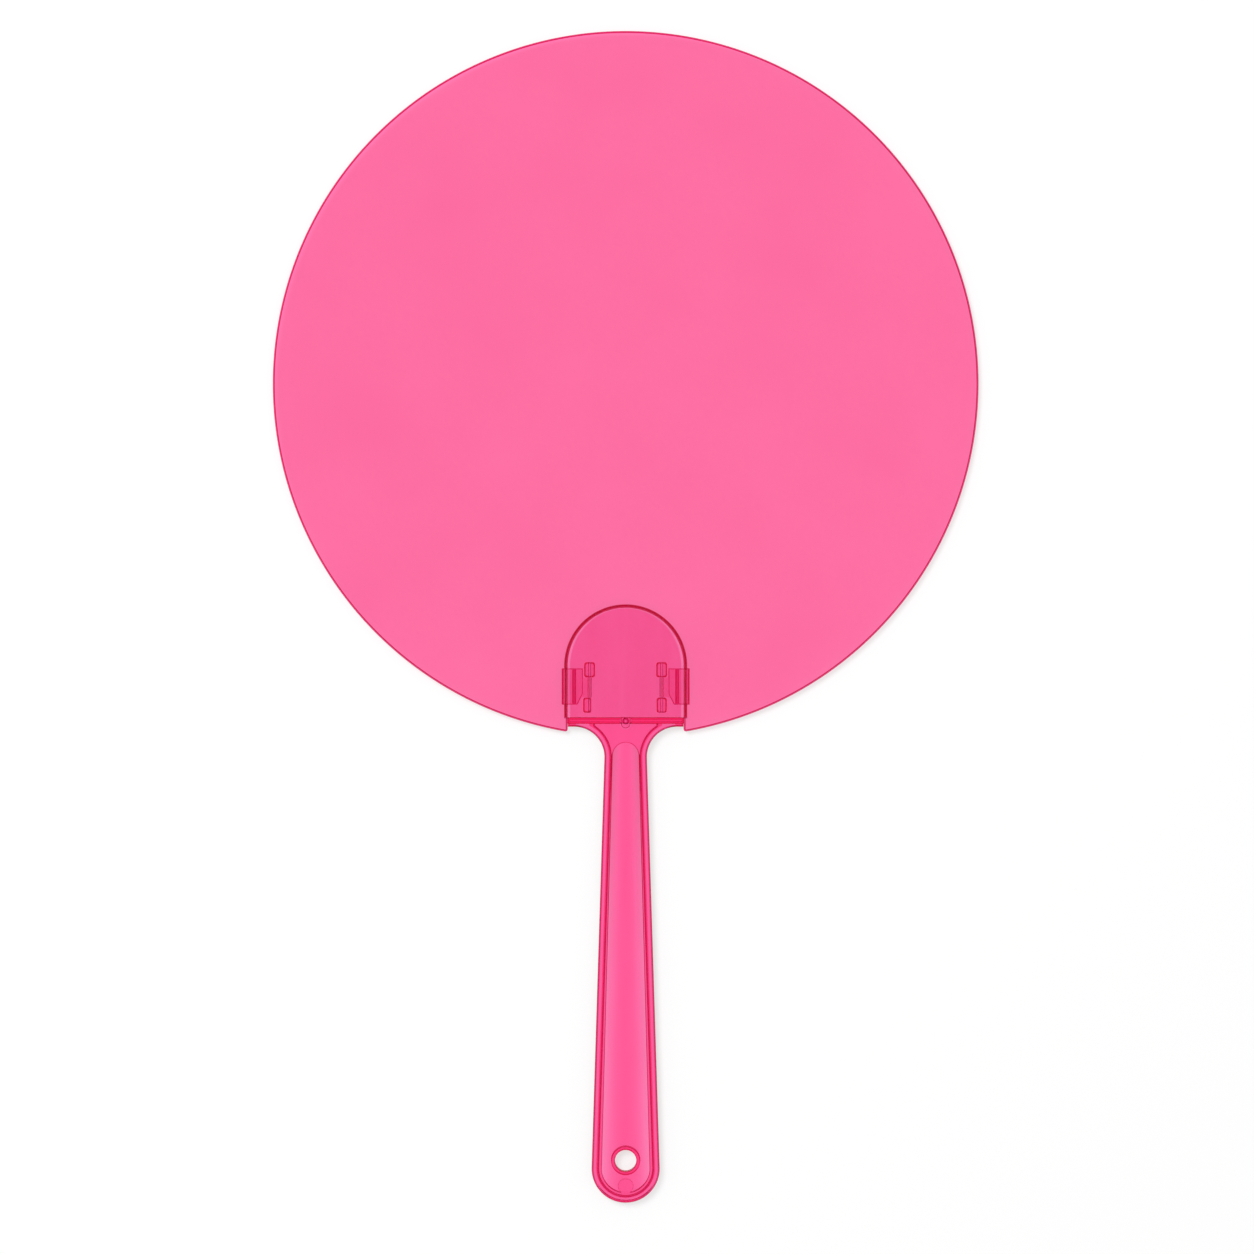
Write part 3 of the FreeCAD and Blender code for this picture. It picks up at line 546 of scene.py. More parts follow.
class Nodes:
    """Node tree under construction."""

    def __init__(self, tree: bpy.types.NodeTree) -> None:
        """Takes over a tree."""
        self.tree = tree

    def fill(self, node: bpy.types.Node, inputs: Inputs) -> None:
        """Fills a node's inputs.

        Args:
            node: Node to fill.
            inputs: For each input, its value or the socket that it is linked to.
        """
        for name, value in inputs.items():
            if isinstance(value, Socket):
                self.tree.links.new(value, node.inputs[name])
            else:
                node.inputs[name].default_value = value

    def add(self, kind: str, inputs: Inputs | None = None) -> bpy.types.Node:
        """Adds a node and fills its inputs.

        Args:
            kind: Kind of node, without the words that they all begin with.
            inputs: For each input, its value or the socket that it is linked to.

        Returns:
            The node.
        """
        node = self.tree.nodes.new("ShaderNode" + kind)
        self.fill(node, inputs or {})
        return node

    def spread(self, value: Socket, given: Point, wanted: Point) -> bpy.types.ShaderNodeMapRange:
        """Adds a node that spreads the given range of a value over the wanted one."""
        names = ("Value", "From Min", "From Max", "To Min", "To Max")
        return self.add("MapRange", dict(zip(names, (value, *given, *wanted))))

    def blend(self, share: Socket, first: Socket | Colour, other: Colour) -> Socket:
        """Adds a mix of two colours.

        Args:
            share: Socket that holds the other colour's share.
            first: The first colour, or the socket that holds it.
            other: The other colour.

        Returns:
            The socket that holds the mixed colour.
        """
        mix = self.add("Mix")
        mix.data_type = "RGBA"
        start = first if isinstance(first, Socket) else (*first, 1.0)
        self.fill(mix, dict(zip((MIX_SHARE, *MIX_COLOURS), (share, start, (*other, 1.0)))))
        return mix.outputs[MIX_RESULT]

    def level_for(
        self, kinds: tuple[str, ...], inside: Socket | float, outside: Socket | float
    ) -> Socket:
        """Adds the nodes that hold one value for some kinds of ray and another for the rest.

        Args:
            kinds: Kinds of ray, by the light path's own names.
            inside: Value, or the socket that holds it, for those kinds.
            outside: The same for the rest.

        Returns:
            The socket that holds the value.
        """
        path = self.add("LightPath")
        answer = path.outputs[kinds[0]]
        for kind in kinds[1:]:
            either = self.add("Math", {0: answer, 1: path.outputs[kind]})
            either.operation = "MAXIMUM"
            answer = either.outputs[0]
        values = (answer, outside, inside)
        return self.add("Mix", dict(zip((MIX_SHARE, *MIX_NUMBERS), values))).outputs[0]


@dataclass(frozen=True)
class TintedPlastic:
    """Clear plastic with a dye in it, which darkens with the length of the light's path.

    Attributes:
        name: Name of the material.
        dye: Colour that the dye leaves over one metre at a density of one.
        density: Strength of the dye, per metre.
        edge: Colour of the painted shade on steep edges and edge bands, standing in for the dark lines
            that refraction gives there.
        clear: Tint of the plastic between the clouds.
        cloud: Tint of the faint clouds in the plastic.
        cloud_scale: Clouds to the metre.
        flow: How much the clouds are drawn out along the fan.
        gloss: Roughness where the surface is smoothest and where it is dullest.
        grain_scale: Grains of the surface to the metre.
        grain_depth: Depth of the grain in metres.
        refraction: How strongly the plastic bends light.
    """

    name: str
    dye: Colour
    density: float
    edge: Colour
    clear: Colour
    cloud: Colour
    cloud_scale: float
    flow: float
    gloss: Point
    grain_scale: float
    grain_depth: float
    refraction: float = 1.46

    def noise(self, nodes: Nodes, scale: float, stretch: float) -> Socket:
        """Adds a noise on the fan's own coordinates.

        Args:
            nodes: Node tree to add to.
            scale: Spots to the metre.
            stretch: How much the spots are drawn out along the fan.

        Returns:
            The socket that holds the noise.
        """
        place = nodes.add("TexCoord").outputs["Object"]
        turn = nodes.add("Mapping", {"Vector": place, "Scale": (1.0, 1.0 / stretch, 1.0)})
        spots = {"Vector": turn.outputs["Vector"], "Scale": scale, "Detail": NOISE_DETAIL}
        return nodes.add("TexNoise", spots).outputs["Fac"]

    def material(self) -> bpy.types.Material:
        """Makes the node tree of the plastic.

        Returns:
            The finished material.
        """
        material = bpy.data.materials.new(self.name)
        material.use_nodes = True
        nodes = Nodes(material.node_tree)
        painted_edge_shade = nodes.add("Attribute")
        painted_edge_shade.attribute_name = PAINTED_EDGE_SHADE
        clouds = nodes.spread(self.noise(nodes, self.cloud_scale, self.flow), NOISE_MIDDLE, (0.0, 1.0))
        clouded = nodes.blend(clouds.outputs["Result"], self.clear, self.cloud)
        grain = self.noise(nodes, self.grain_scale, 1.0)
        relief = {"Strength": GRAIN_STRENGTH, "Distance": self.grain_depth, "Height": grain}
        surface: Inputs = {
            # Painted shade: the base colour turns to the edge colour where the painted edge shade
            # attribute is, for the dark refraction lines at edges.
            "Base Color": nodes.blend(painted_edge_shade.outputs["Fac"], clouded, self.edge),
            "Roughness": nodes.spread(grain, NOISE_MIDDLE, self.gloss).outputs["Result"],
            "Normal": nodes.add("Bump", relief).outputs["Normal"],
            "IOR": self.refraction,
            "Transmission Weight": 1.0,
        }
        nodes.fill(nodes.tree.nodes["Principled BSDF"], surface)
        dye = nodes.add("VolumeAbsorption", {"Color": (*self.dye, 1.0), "Density": self.density})
        nodes.fill(nodes.tree.nodes["Material Output"], {"Volume": dye.outputs["Volume"]})
        return material


class Finish(Enum):
    """Finishes of the fan."""

    SHEET = TintedPlastic(
        name="tinted_sheet",
        dye=(0.985, 0.01, 0.49),
        density=2830.0,
        # Colour of the painted edge shade, for the dark lines that refraction gives at the sheet's edges.
        edge=(0.6, 0.05, 0.2),
        clear=(0.94, 1.0, 0.95),
        cloud=(0.925, 0.92, 0.91),
        cloud_scale=30.0,
        flow=1.0,
        gloss=(0.1, 0.16),
        grain_scale=2600.0,
        grain_depth=0.000004,
        refraction=1.2,
    )
    MOULDING = TintedPlastic(
        name="tinted_moulding",
        dye=(0.995, 0.01, 0.519),
        density=946.0,
        # Colour of the painted edge shade, for the dark lines that refraction gives at the moulding's
        # edges.
        edge=(0.6, 0.03, 0.18),
        clear=(1.0, 1.0, 1.0),
        cloud=(0.98, 0.93, 0.95),
        cloud_scale=260.0,
        flow=6.0,
        gloss=(0.09, 0.15),
        grain_scale=900.0,
        grain_depth=0.000004,
    )
    CLIP = replace(MOULDING, name="tinted_clip", cloud_scale=400.0, flow=1.5, refraction=1.3)
    PIN = replace(
        MOULDING,
        name="tinted_pin",
        dye=(0.99, 0.01, 0.53),
        density=700.0,
        cloud=(0.97, 0.9, 0.93),
        cloud_scale=900.0,
        flow=4.0,
        gloss=(0.04, 0.09),
        grain_scale=1500.0,
        grain_depth=0.000003,
        refraction=1.25,
    )

    @property
    def slot(self) -> str:
        """Name of the record's slot that the finish belongs to."""
        return self.value.name


class Paintbox:
    """Makes each finish once and dresses pieces with it."""

    def __init__(self) -> None:
        """Starts with no finish made."""
        self.made: dict[Finish, bpy.types.Material] = {}

    def dress(self, piece: bpy.types.Object, finish: Finish, body: str, node: str) -> None:
        """Gives a piece its finish, its body and the node that it stands for.

        Args:
            piece: Piece to dress.
            finish: Its finish.
            body: Body that it moves with.
            node: Node that it replaces.
        """
        if finish not in self.made:
            self.made[finish] = finish.value.material()
        piece.data.materials.append(self.made[finish])
        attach(piece, body)
        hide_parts(node)


@dataclass(frozen=True)
class Layout:
    """Main places of the fan in millimetres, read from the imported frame."""

    sheet_radius: float
    sheet_centre: float
    sheet_low: float
    sheet_high: float
    arch_radius: float
    arch_centre: float
    cover_low: float
    cover_high: float
    handle_end: float
    bar_height: float
    hinge_out: float
    hinge_height: float

    @classmethod
    def from_frame(cls) -> "Layout":
        """Reads the places from the nodes' boxes and the hinge's axis.

        Returns:
            The layout.
        """
        sheet_low, sheet_high = (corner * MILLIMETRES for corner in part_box("fan_disc"))
        cover_low, cover_high = (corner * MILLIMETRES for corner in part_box("head_cover"))
        handle_low, handle_high = (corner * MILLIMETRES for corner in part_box("handle"))
        hinge_lift = 1.1
        hinge = next(joint for joint in frame["joints"] if joint["name"] == "right_clip_hinge")
        hinge_x, _, hinge_z = (value * MILLIMETRES for value in hinge["pos_m"])
        radius = (sheet_high.x - sheet_low.x) / 2
        arch_radius = (cover_high.x - cover_low.x) / 2
        return cls(
            sheet_radius=radius,
            sheet_centre=sheet_high.y - radius,
            sheet_low=sheet_low.z,
            sheet_high=sheet_high.z,
            arch_radius=arch_radius,
            arch_centre=cover_high.y - arch_radius,
            cover_low=cover_low.z,
            cover_high=hinge_z - hinge_lift,
            handle_end=handle_low.y,
            bar_height=handle_high.z,
            hinge_out=hinge_x,
            hinge_height=hinge_z,
        )


def arch_outline(layout: Layout, radius: float, foot: float, squeeze: float = 1.0) -> Outline:
    """Draws an arch with straight legs.

    Args:
        layout: Main places of the fan.
        radius: Radius of the arch.
        foot: Height of the legs' feet along the fan.
        squeeze: Width of the arch for a full width of one.

    Returns:
        The outline.
    """
    centre = layout.arch_centre
    outline = Outline(-radius, foot)
    outline.line(radius, foot).line(radius, centre).arc(0.0, centre, 180.0)
    outline.close()
    bmesh.ops.scale(outline.mesh, verts=outline.mesh.verts[:], vec=(squeeze, 1.0, 1.0))
    return outline


def oval_outline(width: float, stretch: float, y: float) -> Outline:
    """Draws an upright oval with two round ends.

    Args:
        width: Width of the oval.
        stretch: Length of its straight part.
        y: Place of its middle.

    Returns:
        The outline.
    """
    radius = width / 2
    outline = Outline(radius, y - stretch / 2)
    outline.line(radius, y + stretch / 2).arc(0.0, y + stretch / 2, 180.0, FINE_STEP)
    outline.line(-radius, y - stretch / 2).arc(0.0, y - stretch / 2, 180.0, FINE_STEP)
    return outline


def box_outline(x_low: float, x_high: float, y_low: float, y_high: float) -> Outline:
    """Draws a rectangle between two places across and two along."""
    return Outline(x_low, y_low).line(x_high, y_low).line(x_high, y_high).line(x_low, y_high)


def side_box(side: Side, inner: float, outer: float, top: float, length: float) -> Outline:
    """Draws a rectangle at one side, between two distances from the middle and down from its top."""
    x_low, x_high = sorted((side.value * inner, side.value * outer))
    return box_outline(x_low, x_high, top - length, top)


@dataclass
class FanSheet:
    """Round sheet with the arch cut-out that the head sits in."""

    layout: Layout
    lap: float = 1.05
    corner_round: float = 0.85
    edge_round: float = 0.27
    edge_steps: int = 5
    # Width of the band of painted edge shade along the sheet's edges, for the dark line that refraction
    # gives there.
    sheet_shade_band: float = 0.3
    rim_step: float = 1.6

    def build(self, paintbox: Paintbox) -> None:
        """Makes and dresses the sheet.

        Args:
            paintbox: Finishes to dress it with.
        """
        layout = self.layout
        cut = layout.arch_radius - self.lap
        radius = layout.sheet_radius
        foot = layout.sheet_centre - sqrt(radius * radius - cut * cut)
        opening = degrees(asin(cut / radius))
        outline = Outline(cut, foot)
        outline.arc(0.0, layout.sheet_centre, 360.0 - 2 * opening, self.rim_step)
        outline.line(-cut, layout.arch_centre)
        outline.arc(0.0, layout.arch_centre, -180.0)
        outline.round_corners([(-cut, foot), (cut, foot)], self.corner_round)
        heights = (layout.sheet_low, layout.sheet_high)
        sheet = Solid.prism(outline, *heights)
        sheet.round_off(self.edge_round, self.edge_steps, level_edges(*heights))
        piece = sheet.piece("fan_sheet", heights, self.sheet_shade_band)
        paintbox.dress(piece, Finish.SHEET, "disc", "fan_disc")


@dataclass
class GripHandle:
    """Grip with its raised rim, panel and hanging hole, the neck and the back of the head."""

    layout: Layout
    rim_height: float = 3.2
    rim_width: float = 1.9
    rim_round: float = 0.75
    back_edge_round: float = 0.45
    rim_core_outer: float = 0.55
    rim_core_inner: float = 1.33
    rim_core_depth: float = 1.15
    rim_core_top: float = 0.9
    rim_core_inner_top: float = 0.5
    rim_core_margin: float = 0.5
    rim_steps: int = 6
    lip_width: float = 0.5
    lip_depth: float = 0.22
    foot_width: float = 0.5
    foot_depth: float = 0.13
    web_thickness: float = 2.4
    bar_drop: float = 15.3
    bar_round: float = 0.42
    bar_steps: int = 5
    bar_cover: float = 0.3
    bar_wall: float = 0.12
    channel_inset: float = 0.13
    channel_slope: float = 0.1
    channel_depth: float = 0.4
    shoulder_drop: float = 18.1
    shoulder_half: float = 17.17
    bar_half: float = 17.24
    neck_half: float = 6.3
    neck_radius: float = 9.0
    end_radius: float = 10.1
    hollow_corner: float = 0.65
    mouth_over: float = 0.02
    panel_top_drop: float = 26.7
    panel_top_radius: float = 3.85
    panel_end_radius: float = 7.1
    panel_round: float = 0.3
    panel_flare: float = 0.34
    panel_step: float = 0.1
    panel_crown: float = 0.45
    panel_rows: int = 24
    panel_depth: float = 1.2
    panel_mouth: float = 0.5
    panel_spread: float = 1.2
    hole_radius: float = 3.2
    hole_inset: float = 12.5
    ring_width: float = 1.1
    ring_rise: float = 0.3
    ring_round: float = 0.3
    ring_steps: int = 96
    pad_radius: float = 2.25
    pad_inset: float = 4.8
    pad_round: float = 0.05
    pad_drop: float = 0.02
    pad_steps: int = 64
    back_low: float = 0.8
    back_high: float = 1.6
    back_round: float = 0.3
    soft_steps: int = 4
    core_high: float = 2.4
    core_root: float = 0.2
    core_gap: float = 1.2
    core_squeeze: float = 0.966
    ear_inner: float = 15.0
    ear_out: float = 0.7
    ear_top: float = 0.75
    ear_length: float = 10.75
    ear_lift: float = 0.05
    lug_drop: float = 16.4
    lug_stretch: float = 1.5
    seat_width: float = 3.14
    seat_round: float = 0.35
    seat_drop: float = 0.04
    bore_radius: float = 0.67

    @property
    def middle(self) -> float:
        """Height of the handle's middle plane."""
        return self.layout.bar_height / 2

    @property
    def rim_high(self) -> float:
        """Height of the rim's front."""
        return self.middle + self.rim_height / 2

    @property
    def web_high(self) -> float:
        """Height of the web's front."""
        return self.middle + self.web_thickness / 2

    @property
    def bar_top(self) -> float:
        """Place of the shoulder bar's upper side along the fan."""
        return self.layout.arch_centre - self.bar_drop

    @property
    def hole_place(self) -> float:
        """Place of the hanging hole along the fan."""
        return self.layout.handle_end + self.hole_inset

    @property
    def end_centre(self) -> float:
        """Place of the round end's centre along the fan."""
        return self.layout.handle_end + self.end_radius

    def grip_outline(self, inset: float, top: float) -> Outline:
        """Draws the grip with its neck, up to the shoulders or to a hollow's rounded corners.

        Args:
            inset: How far the outline lies inside the grip's own.
            top: Place of the straight top along the fan.

        Returns:
            The outline.
        """
        neck_x = self.neck_half + self.neck_radius
        shoulder = self.layout.arch_centre - self.shoulder_drop
        neck_y = shoulder - self.neck_radius
        end_y = self.end_centre
        span = Vector((neck_x, neck_y - end_y))
        lean = atan2(span.y, span.x) - acos((self.neck_radius + self.end_radius) / span.length)
        neck = self.neck_radius + inset
        end = self.end_radius - inset
        corner = self.hollow_corner
        corner_y = top - corner
        corner_x = neck_x - sqrt(max(0.0, (neck + corner) ** 2 - (corner_y - neck_y) ** 2))
        meeting = degrees(atan2(corner_y - neck_y, corner_x - neck_x)) if inset else 90.0
        swing = 180.0 + degrees(lean) - meeting
        outline = Outline(-end * cos(lean), end_y + end * sin(lean))
        outline.arc(0.0, end_y, 180.0 + 2 * degrees(lean))
        outline.line(neck_x - neck * cos(lean), neck_y - neck * sin(lean))
        outline.arc(neck_x, neck_y, -swing)
        if inset:
            outline.arc(corner_x, corner_y, 270.0 - meeting, FINE_STEP)
            outline.line(-corner_x, top)
            outline.arc(-corner_x, corner_y, 270.0 - meeting, FINE_STEP)
        else:
            outline.line(self.shoulder_half, shoulder).line(self.shoulder_half, top)
            outline.line(-self.shoulder_half, top).line(-self.shoulder_half, shoulder)
            outline.line(-neck_x, shoulder)
        outline.arc(-neck_x, neck_y, -swing)
        return outline

    def panel_outline(self) -> Outline:
        """Draws the long tapered panel.

        Returns:
            The outline.
        """
        top_y = self.layout.arch_centre - self.panel_top_drop
        end_y = self.end_centre
        top = self.panel_top_radius
        end = self.panel_end_radius
        lean = asin((end - top) / (top_y - end_y))
        outline = Outline(-end * cos(lean), end_y + end * sin(lean))
        outline.arc(0.0, end_y, 180.0 + 2 * degrees(lean))
        outline.line(top * cos(lean), top_y + top * sin(lean))
        outline.arc(0.0, top_y, 180.0 - 2 * degrees(lean))
        return outline

    def hollow(self) -> Solid:
        """Makes the front cutter for the hollow inside the rim, with a soft lip and foot.

        Returns:
            The cutter, whose upper end lies inside the bar.
        """
        outline = self.grip_outline(self.rim_width, self.bar_top - self.rim_width + self.bar_cover)
        low = self.web_high + self.foot_depth
        high = self.rim_high - self.lip_depth + self.mouth_over
        cutter = Solid.prism(outline, low, high)
        cutter.sink(cutter.flat_face(low), quarter(self.foot_width, self.foot_depth, self.rim_steps))
        return cutter.flare(high, self.lip_width, self.lip_depth, self.rim_steps, OVERSHOOT)

    def rim_core(self, low: float) -> Solid:
        """Makes the cutter for the groove that thins the rim from its back.

        Args:
            low: Height of the rim's back.

        Returns:
            The cutter, whose upper run lies inside the bar.
        """
        top = self.bar_top - self.rim_width
        foot = low - OVERSHOOT
        roof = low + self.rim_core_depth
        outer = self.grip_outline(self.rim_core_outer, top + self.rim_core_top)
        inner = self.grip_outline(self.rim_core_inner, top + self.rim_core_inner_top)
        groove = Solid.prism(outer, foot, roof)
        return groove.cut(Solid.prism(inner, foot - self.rim_core_margin, roof + self.rim_core_margin))

    def bar(self) -> Solid:
        """Makes the shoulder bar, thicker than the grip and with a shallow channel along its front.

        Returns:
            The bar.
        """
        high = self.layout.bar_height
        low_y = self.bar_top - self.rim_width
        shape = box_outline(-self.bar_half, self.bar_half, low_y, self.bar_top)
        bar = Solid.prism(shape, 0.0, high)
        bar.round_off(self.bar_round, self.bar_steps, level_edges(0.0, high))
        channel = [(self.channel_inset, 0.0), (self.channel_slope, -self.channel_depth)]
        return bar.sink(bar.flat_face(high), channel)

    def panel_half(self, y: float) -> float:
        """Works out half the panel's width.

        Args:
            y: Place along the fan.

        Returns:
            Half the width there.
        """
        top_y = self.layout.arch_centre - self.panel_top_drop
        share = (top_y - y) / (top_y - self.end_centre)
        return self.panel_top_radius + share * (self.panel_end_radius - self.panel_top_radius)

    def panel_floor(self) -> Solid:
        """Makes the block under the panel, crowned across and tapered as the panel is.

        Returns:
            The block.
        """
        half = self.panel_end_radius
        crown = (half * half + self.panel_crown * self.panel_crown) / (2 * self.panel_crown)
        reach = half * self.panel_spread
        ridge = self.web_high - self.panel_step
        base = ridge - 2 * self.panel_depth
        lean = asin(reach / crown)
        profile = Outline(-reach, base).line(reach, base).line(reach, ridge - crown + crown * cos(lean))
        profile.arc(0.0, ridge - crown, 2 * degrees(lean))
        upper = self.layout.arch_centre - self.panel_top_drop + 2 * self.panel_top_radius
        lower = self.layout.handle_end
        floor = Solid.prism(profile, -upper, -lower)
        mesh = floor.mesh
        for y in (upper, lower):
            end = [vertex for vertex in mesh.verts if abs(vertex.co.z + y) < SAME_LEVEL]
            bmesh.ops.scale(mesh, verts=end, vec=(self.panel_half(y) / half, 1.0, 1.0))
        for row in range(1, self.panel_rows):
            place = (lower - upper) * row / self.panel_rows - lower
            everything = mesh.verts[:] + mesh.edges[:] + mesh.faces[:]
            bmesh.ops.bisect_plane(
                mesh,
                geom=everything,
                dist=SAME_PLACE,
                plane_co=(0.0, 0.0, place),
                plane_no=(0.0, 0.0, 1.0),
            )
        bmesh.ops.triangulate(mesh, faces=mesh.faces[:])
        return floor.stand()

    def panel(self) -> Solid:
        """Makes the front cutter for the panel, with a soft edge.

        Returns:
            The cutter.
        """
        high = self.web_high - self.panel_round + self.mouth_over
        cutter = Solid.prism(self.panel_outline(), self.web_high - self.panel_depth, high)
        cutter.flare(high, self.panel_flare, self.panel_round, self.soft_steps, self.panel_mouth)
        return cutter.cut(self.panel_floor())

    def back_of(self, cutter: Solid) -> Solid:
        """Turns a front cutter over to the back of the handle."""
        return cutter.mirror(1.0, 1.0, -1.0).move(0.0, 0.0, self.layout.bar_height)

    def hole_ring(self) -> Solid:
        """Makes the raised ring round the hanging hole, with soft edges.

        Returns:
            The ring.
        """
        soft = self.ring_round
        inner = self.hole_radius + soft
        outer = self.hole_radius + self.ring_width - soft
        rise = self.web_thickness / 2 + self.ring_rise - soft
        low = self.middle - rise
        high = self.middle + rise
        profile = Outline(inner, low - soft)
        starts = ((outer, low - soft), (outer + soft, high), (inner, high + soft), (inner - soft, low))
        centres = ((outer, low), (outer, high), (inner, high), (inner, low))
        for start, centre in zip(starts, centres):
            profile.line(*start).arc(*centre, 90.0, FINEST_STEP)
        return Solid.lathe(profile, self.ring_steps).move(0.0, self.hole_place, 0.0)

    def end_pad(self) -> Solid:
        """Makes the round pad near the end of the grip.

        Returns:
            The pad.
        """
        rise = self.web_thickness / 2 - self.pad_drop
        low = self.middle - rise
        high = self.middle + rise
        pad = Solid.soft_rod(self.pad_radius, low, high, self.pad_round, self.pad_steps)
        return pad.move(0.0, self.layout.handle_end + self.pad_inset, 0.0)

    def grip(self) -> Solid:
        """Makes the grip with its hollows, bar, panels, hanging hole and pad.

        Returns:
            The grip.
        """
        low = self.middle - self.rim_height / 2
        outline = self.grip_outline(0.0, self.bar_top - self.bar_wall)
        grip = Solid.prism(outline, low, self.rim_high)
        grip.round_off(self.rim_round, self.rim_steps, level_edges(self.rim_high))
        grip.round_off(self.back_edge_round, self.rim_steps, level_edges(low))
        grip.cut(self.rim_core(low))
        grip.cut(self.hollow())
        grip.cut(self.back_of(self.hollow()))
        grip.add(self.bar())
        grip.cut(self.panel())
        grip.cut(self.back_of(self.panel()))
        ring_middle = self.hole_radius + self.ring_width / 2
        roof = self.layout.bar_height + OVERSHOOT
        clearing = Solid.rod(ring_middle, -OVERSHOOT, roof, self.ring_steps)
        grip.cut(clearing.move(0.0, self.hole_place, 0.0))
        grip.add(self.hole_ring())
        return grip.add(self.end_pad())

    def back_plate(self) -> Solid:
        """Makes the back of the head with the two ears behind the clips.

        Returns:
            The plate.
        """
        layout = self.layout
        outline = arch_outline(layout, layout.arch_radius, self.bar_top - self.bar_cover)
        plate = Solid.prism(outline, self.back_low, self.back_high)
        plate.round_off(self.back_round, self.soft_steps, level_edges(self.back_low))
        top = layout.arch_centre - self.ear_top
        outer = layout.arch_radius + self.ear_out
        for side in Side:
            ear = side_box(side, self.ear_inner, outer, top, self.ear_length)
            plate.add(Solid.prism(ear, self.back_low + self.ear_lift, self.back_high))
        return plate

    def lug_seat(self) -> Solid:
        """Makes the cutter for the oval seat of the cover's lug, with a soft mouth.

        Returns:
            The cutter.
        """
        lug_y = self.layout.arch_centre - self.lug_drop
        low = self.core_high - self.seat_drop
        high = self.layout.bar_height - self.seat_round + self.mouth_over
        seat = Solid.prism(oval_outline(self.seat_width, self.lug_stretch, lug_y), low, high)
        return seat.flare(high, self.seat_round, self.seat_round, self.soft_steps, OVERSHOOT)

    def build(self, paintbox: Paintbox) -> None:
        """Makes and dresses the handle.

        Args:
            paintbox: Finishes to dress it with.
        """
        layout = self.layout
        handle = self.grip()
        handle.add(self.back_plate())
        foot = self.bar_top - self.bar_cover
        core = arch_outline(layout, layout.arch_radius - self.core_gap, foot, self.core_squeeze)
        handle.add(Solid.prism(core, self.back_high - self.core_root, self.core_high))
        handle.cut(self.lug_seat())
        bore = Solid.rod(self.bore_radius, -OVERSHOOT, layout.bar_height + OVERSHOOT)
        handle.cut(bore.move(0.0, layout.arch_centre - self.lug_drop, 0.0))
        paintbox.dress(handle.piece("grip_moulding"), Finish.MOULDING, "handle", "handle")


@dataclass(frozen=True)
class Knuckle:
    """Form of one hinge knuckle.

    Attributes:
        side: Side of the fan.
        drop: How far its upper end lies below the arch's centre.
        shift: How far it stands outside the hinge line.
        half: Half its width.
        open_foot: Whether its lower end is open.
    """

    side: Side
    drop: float
    shift: float
    half: float
    open_foot: bool = False


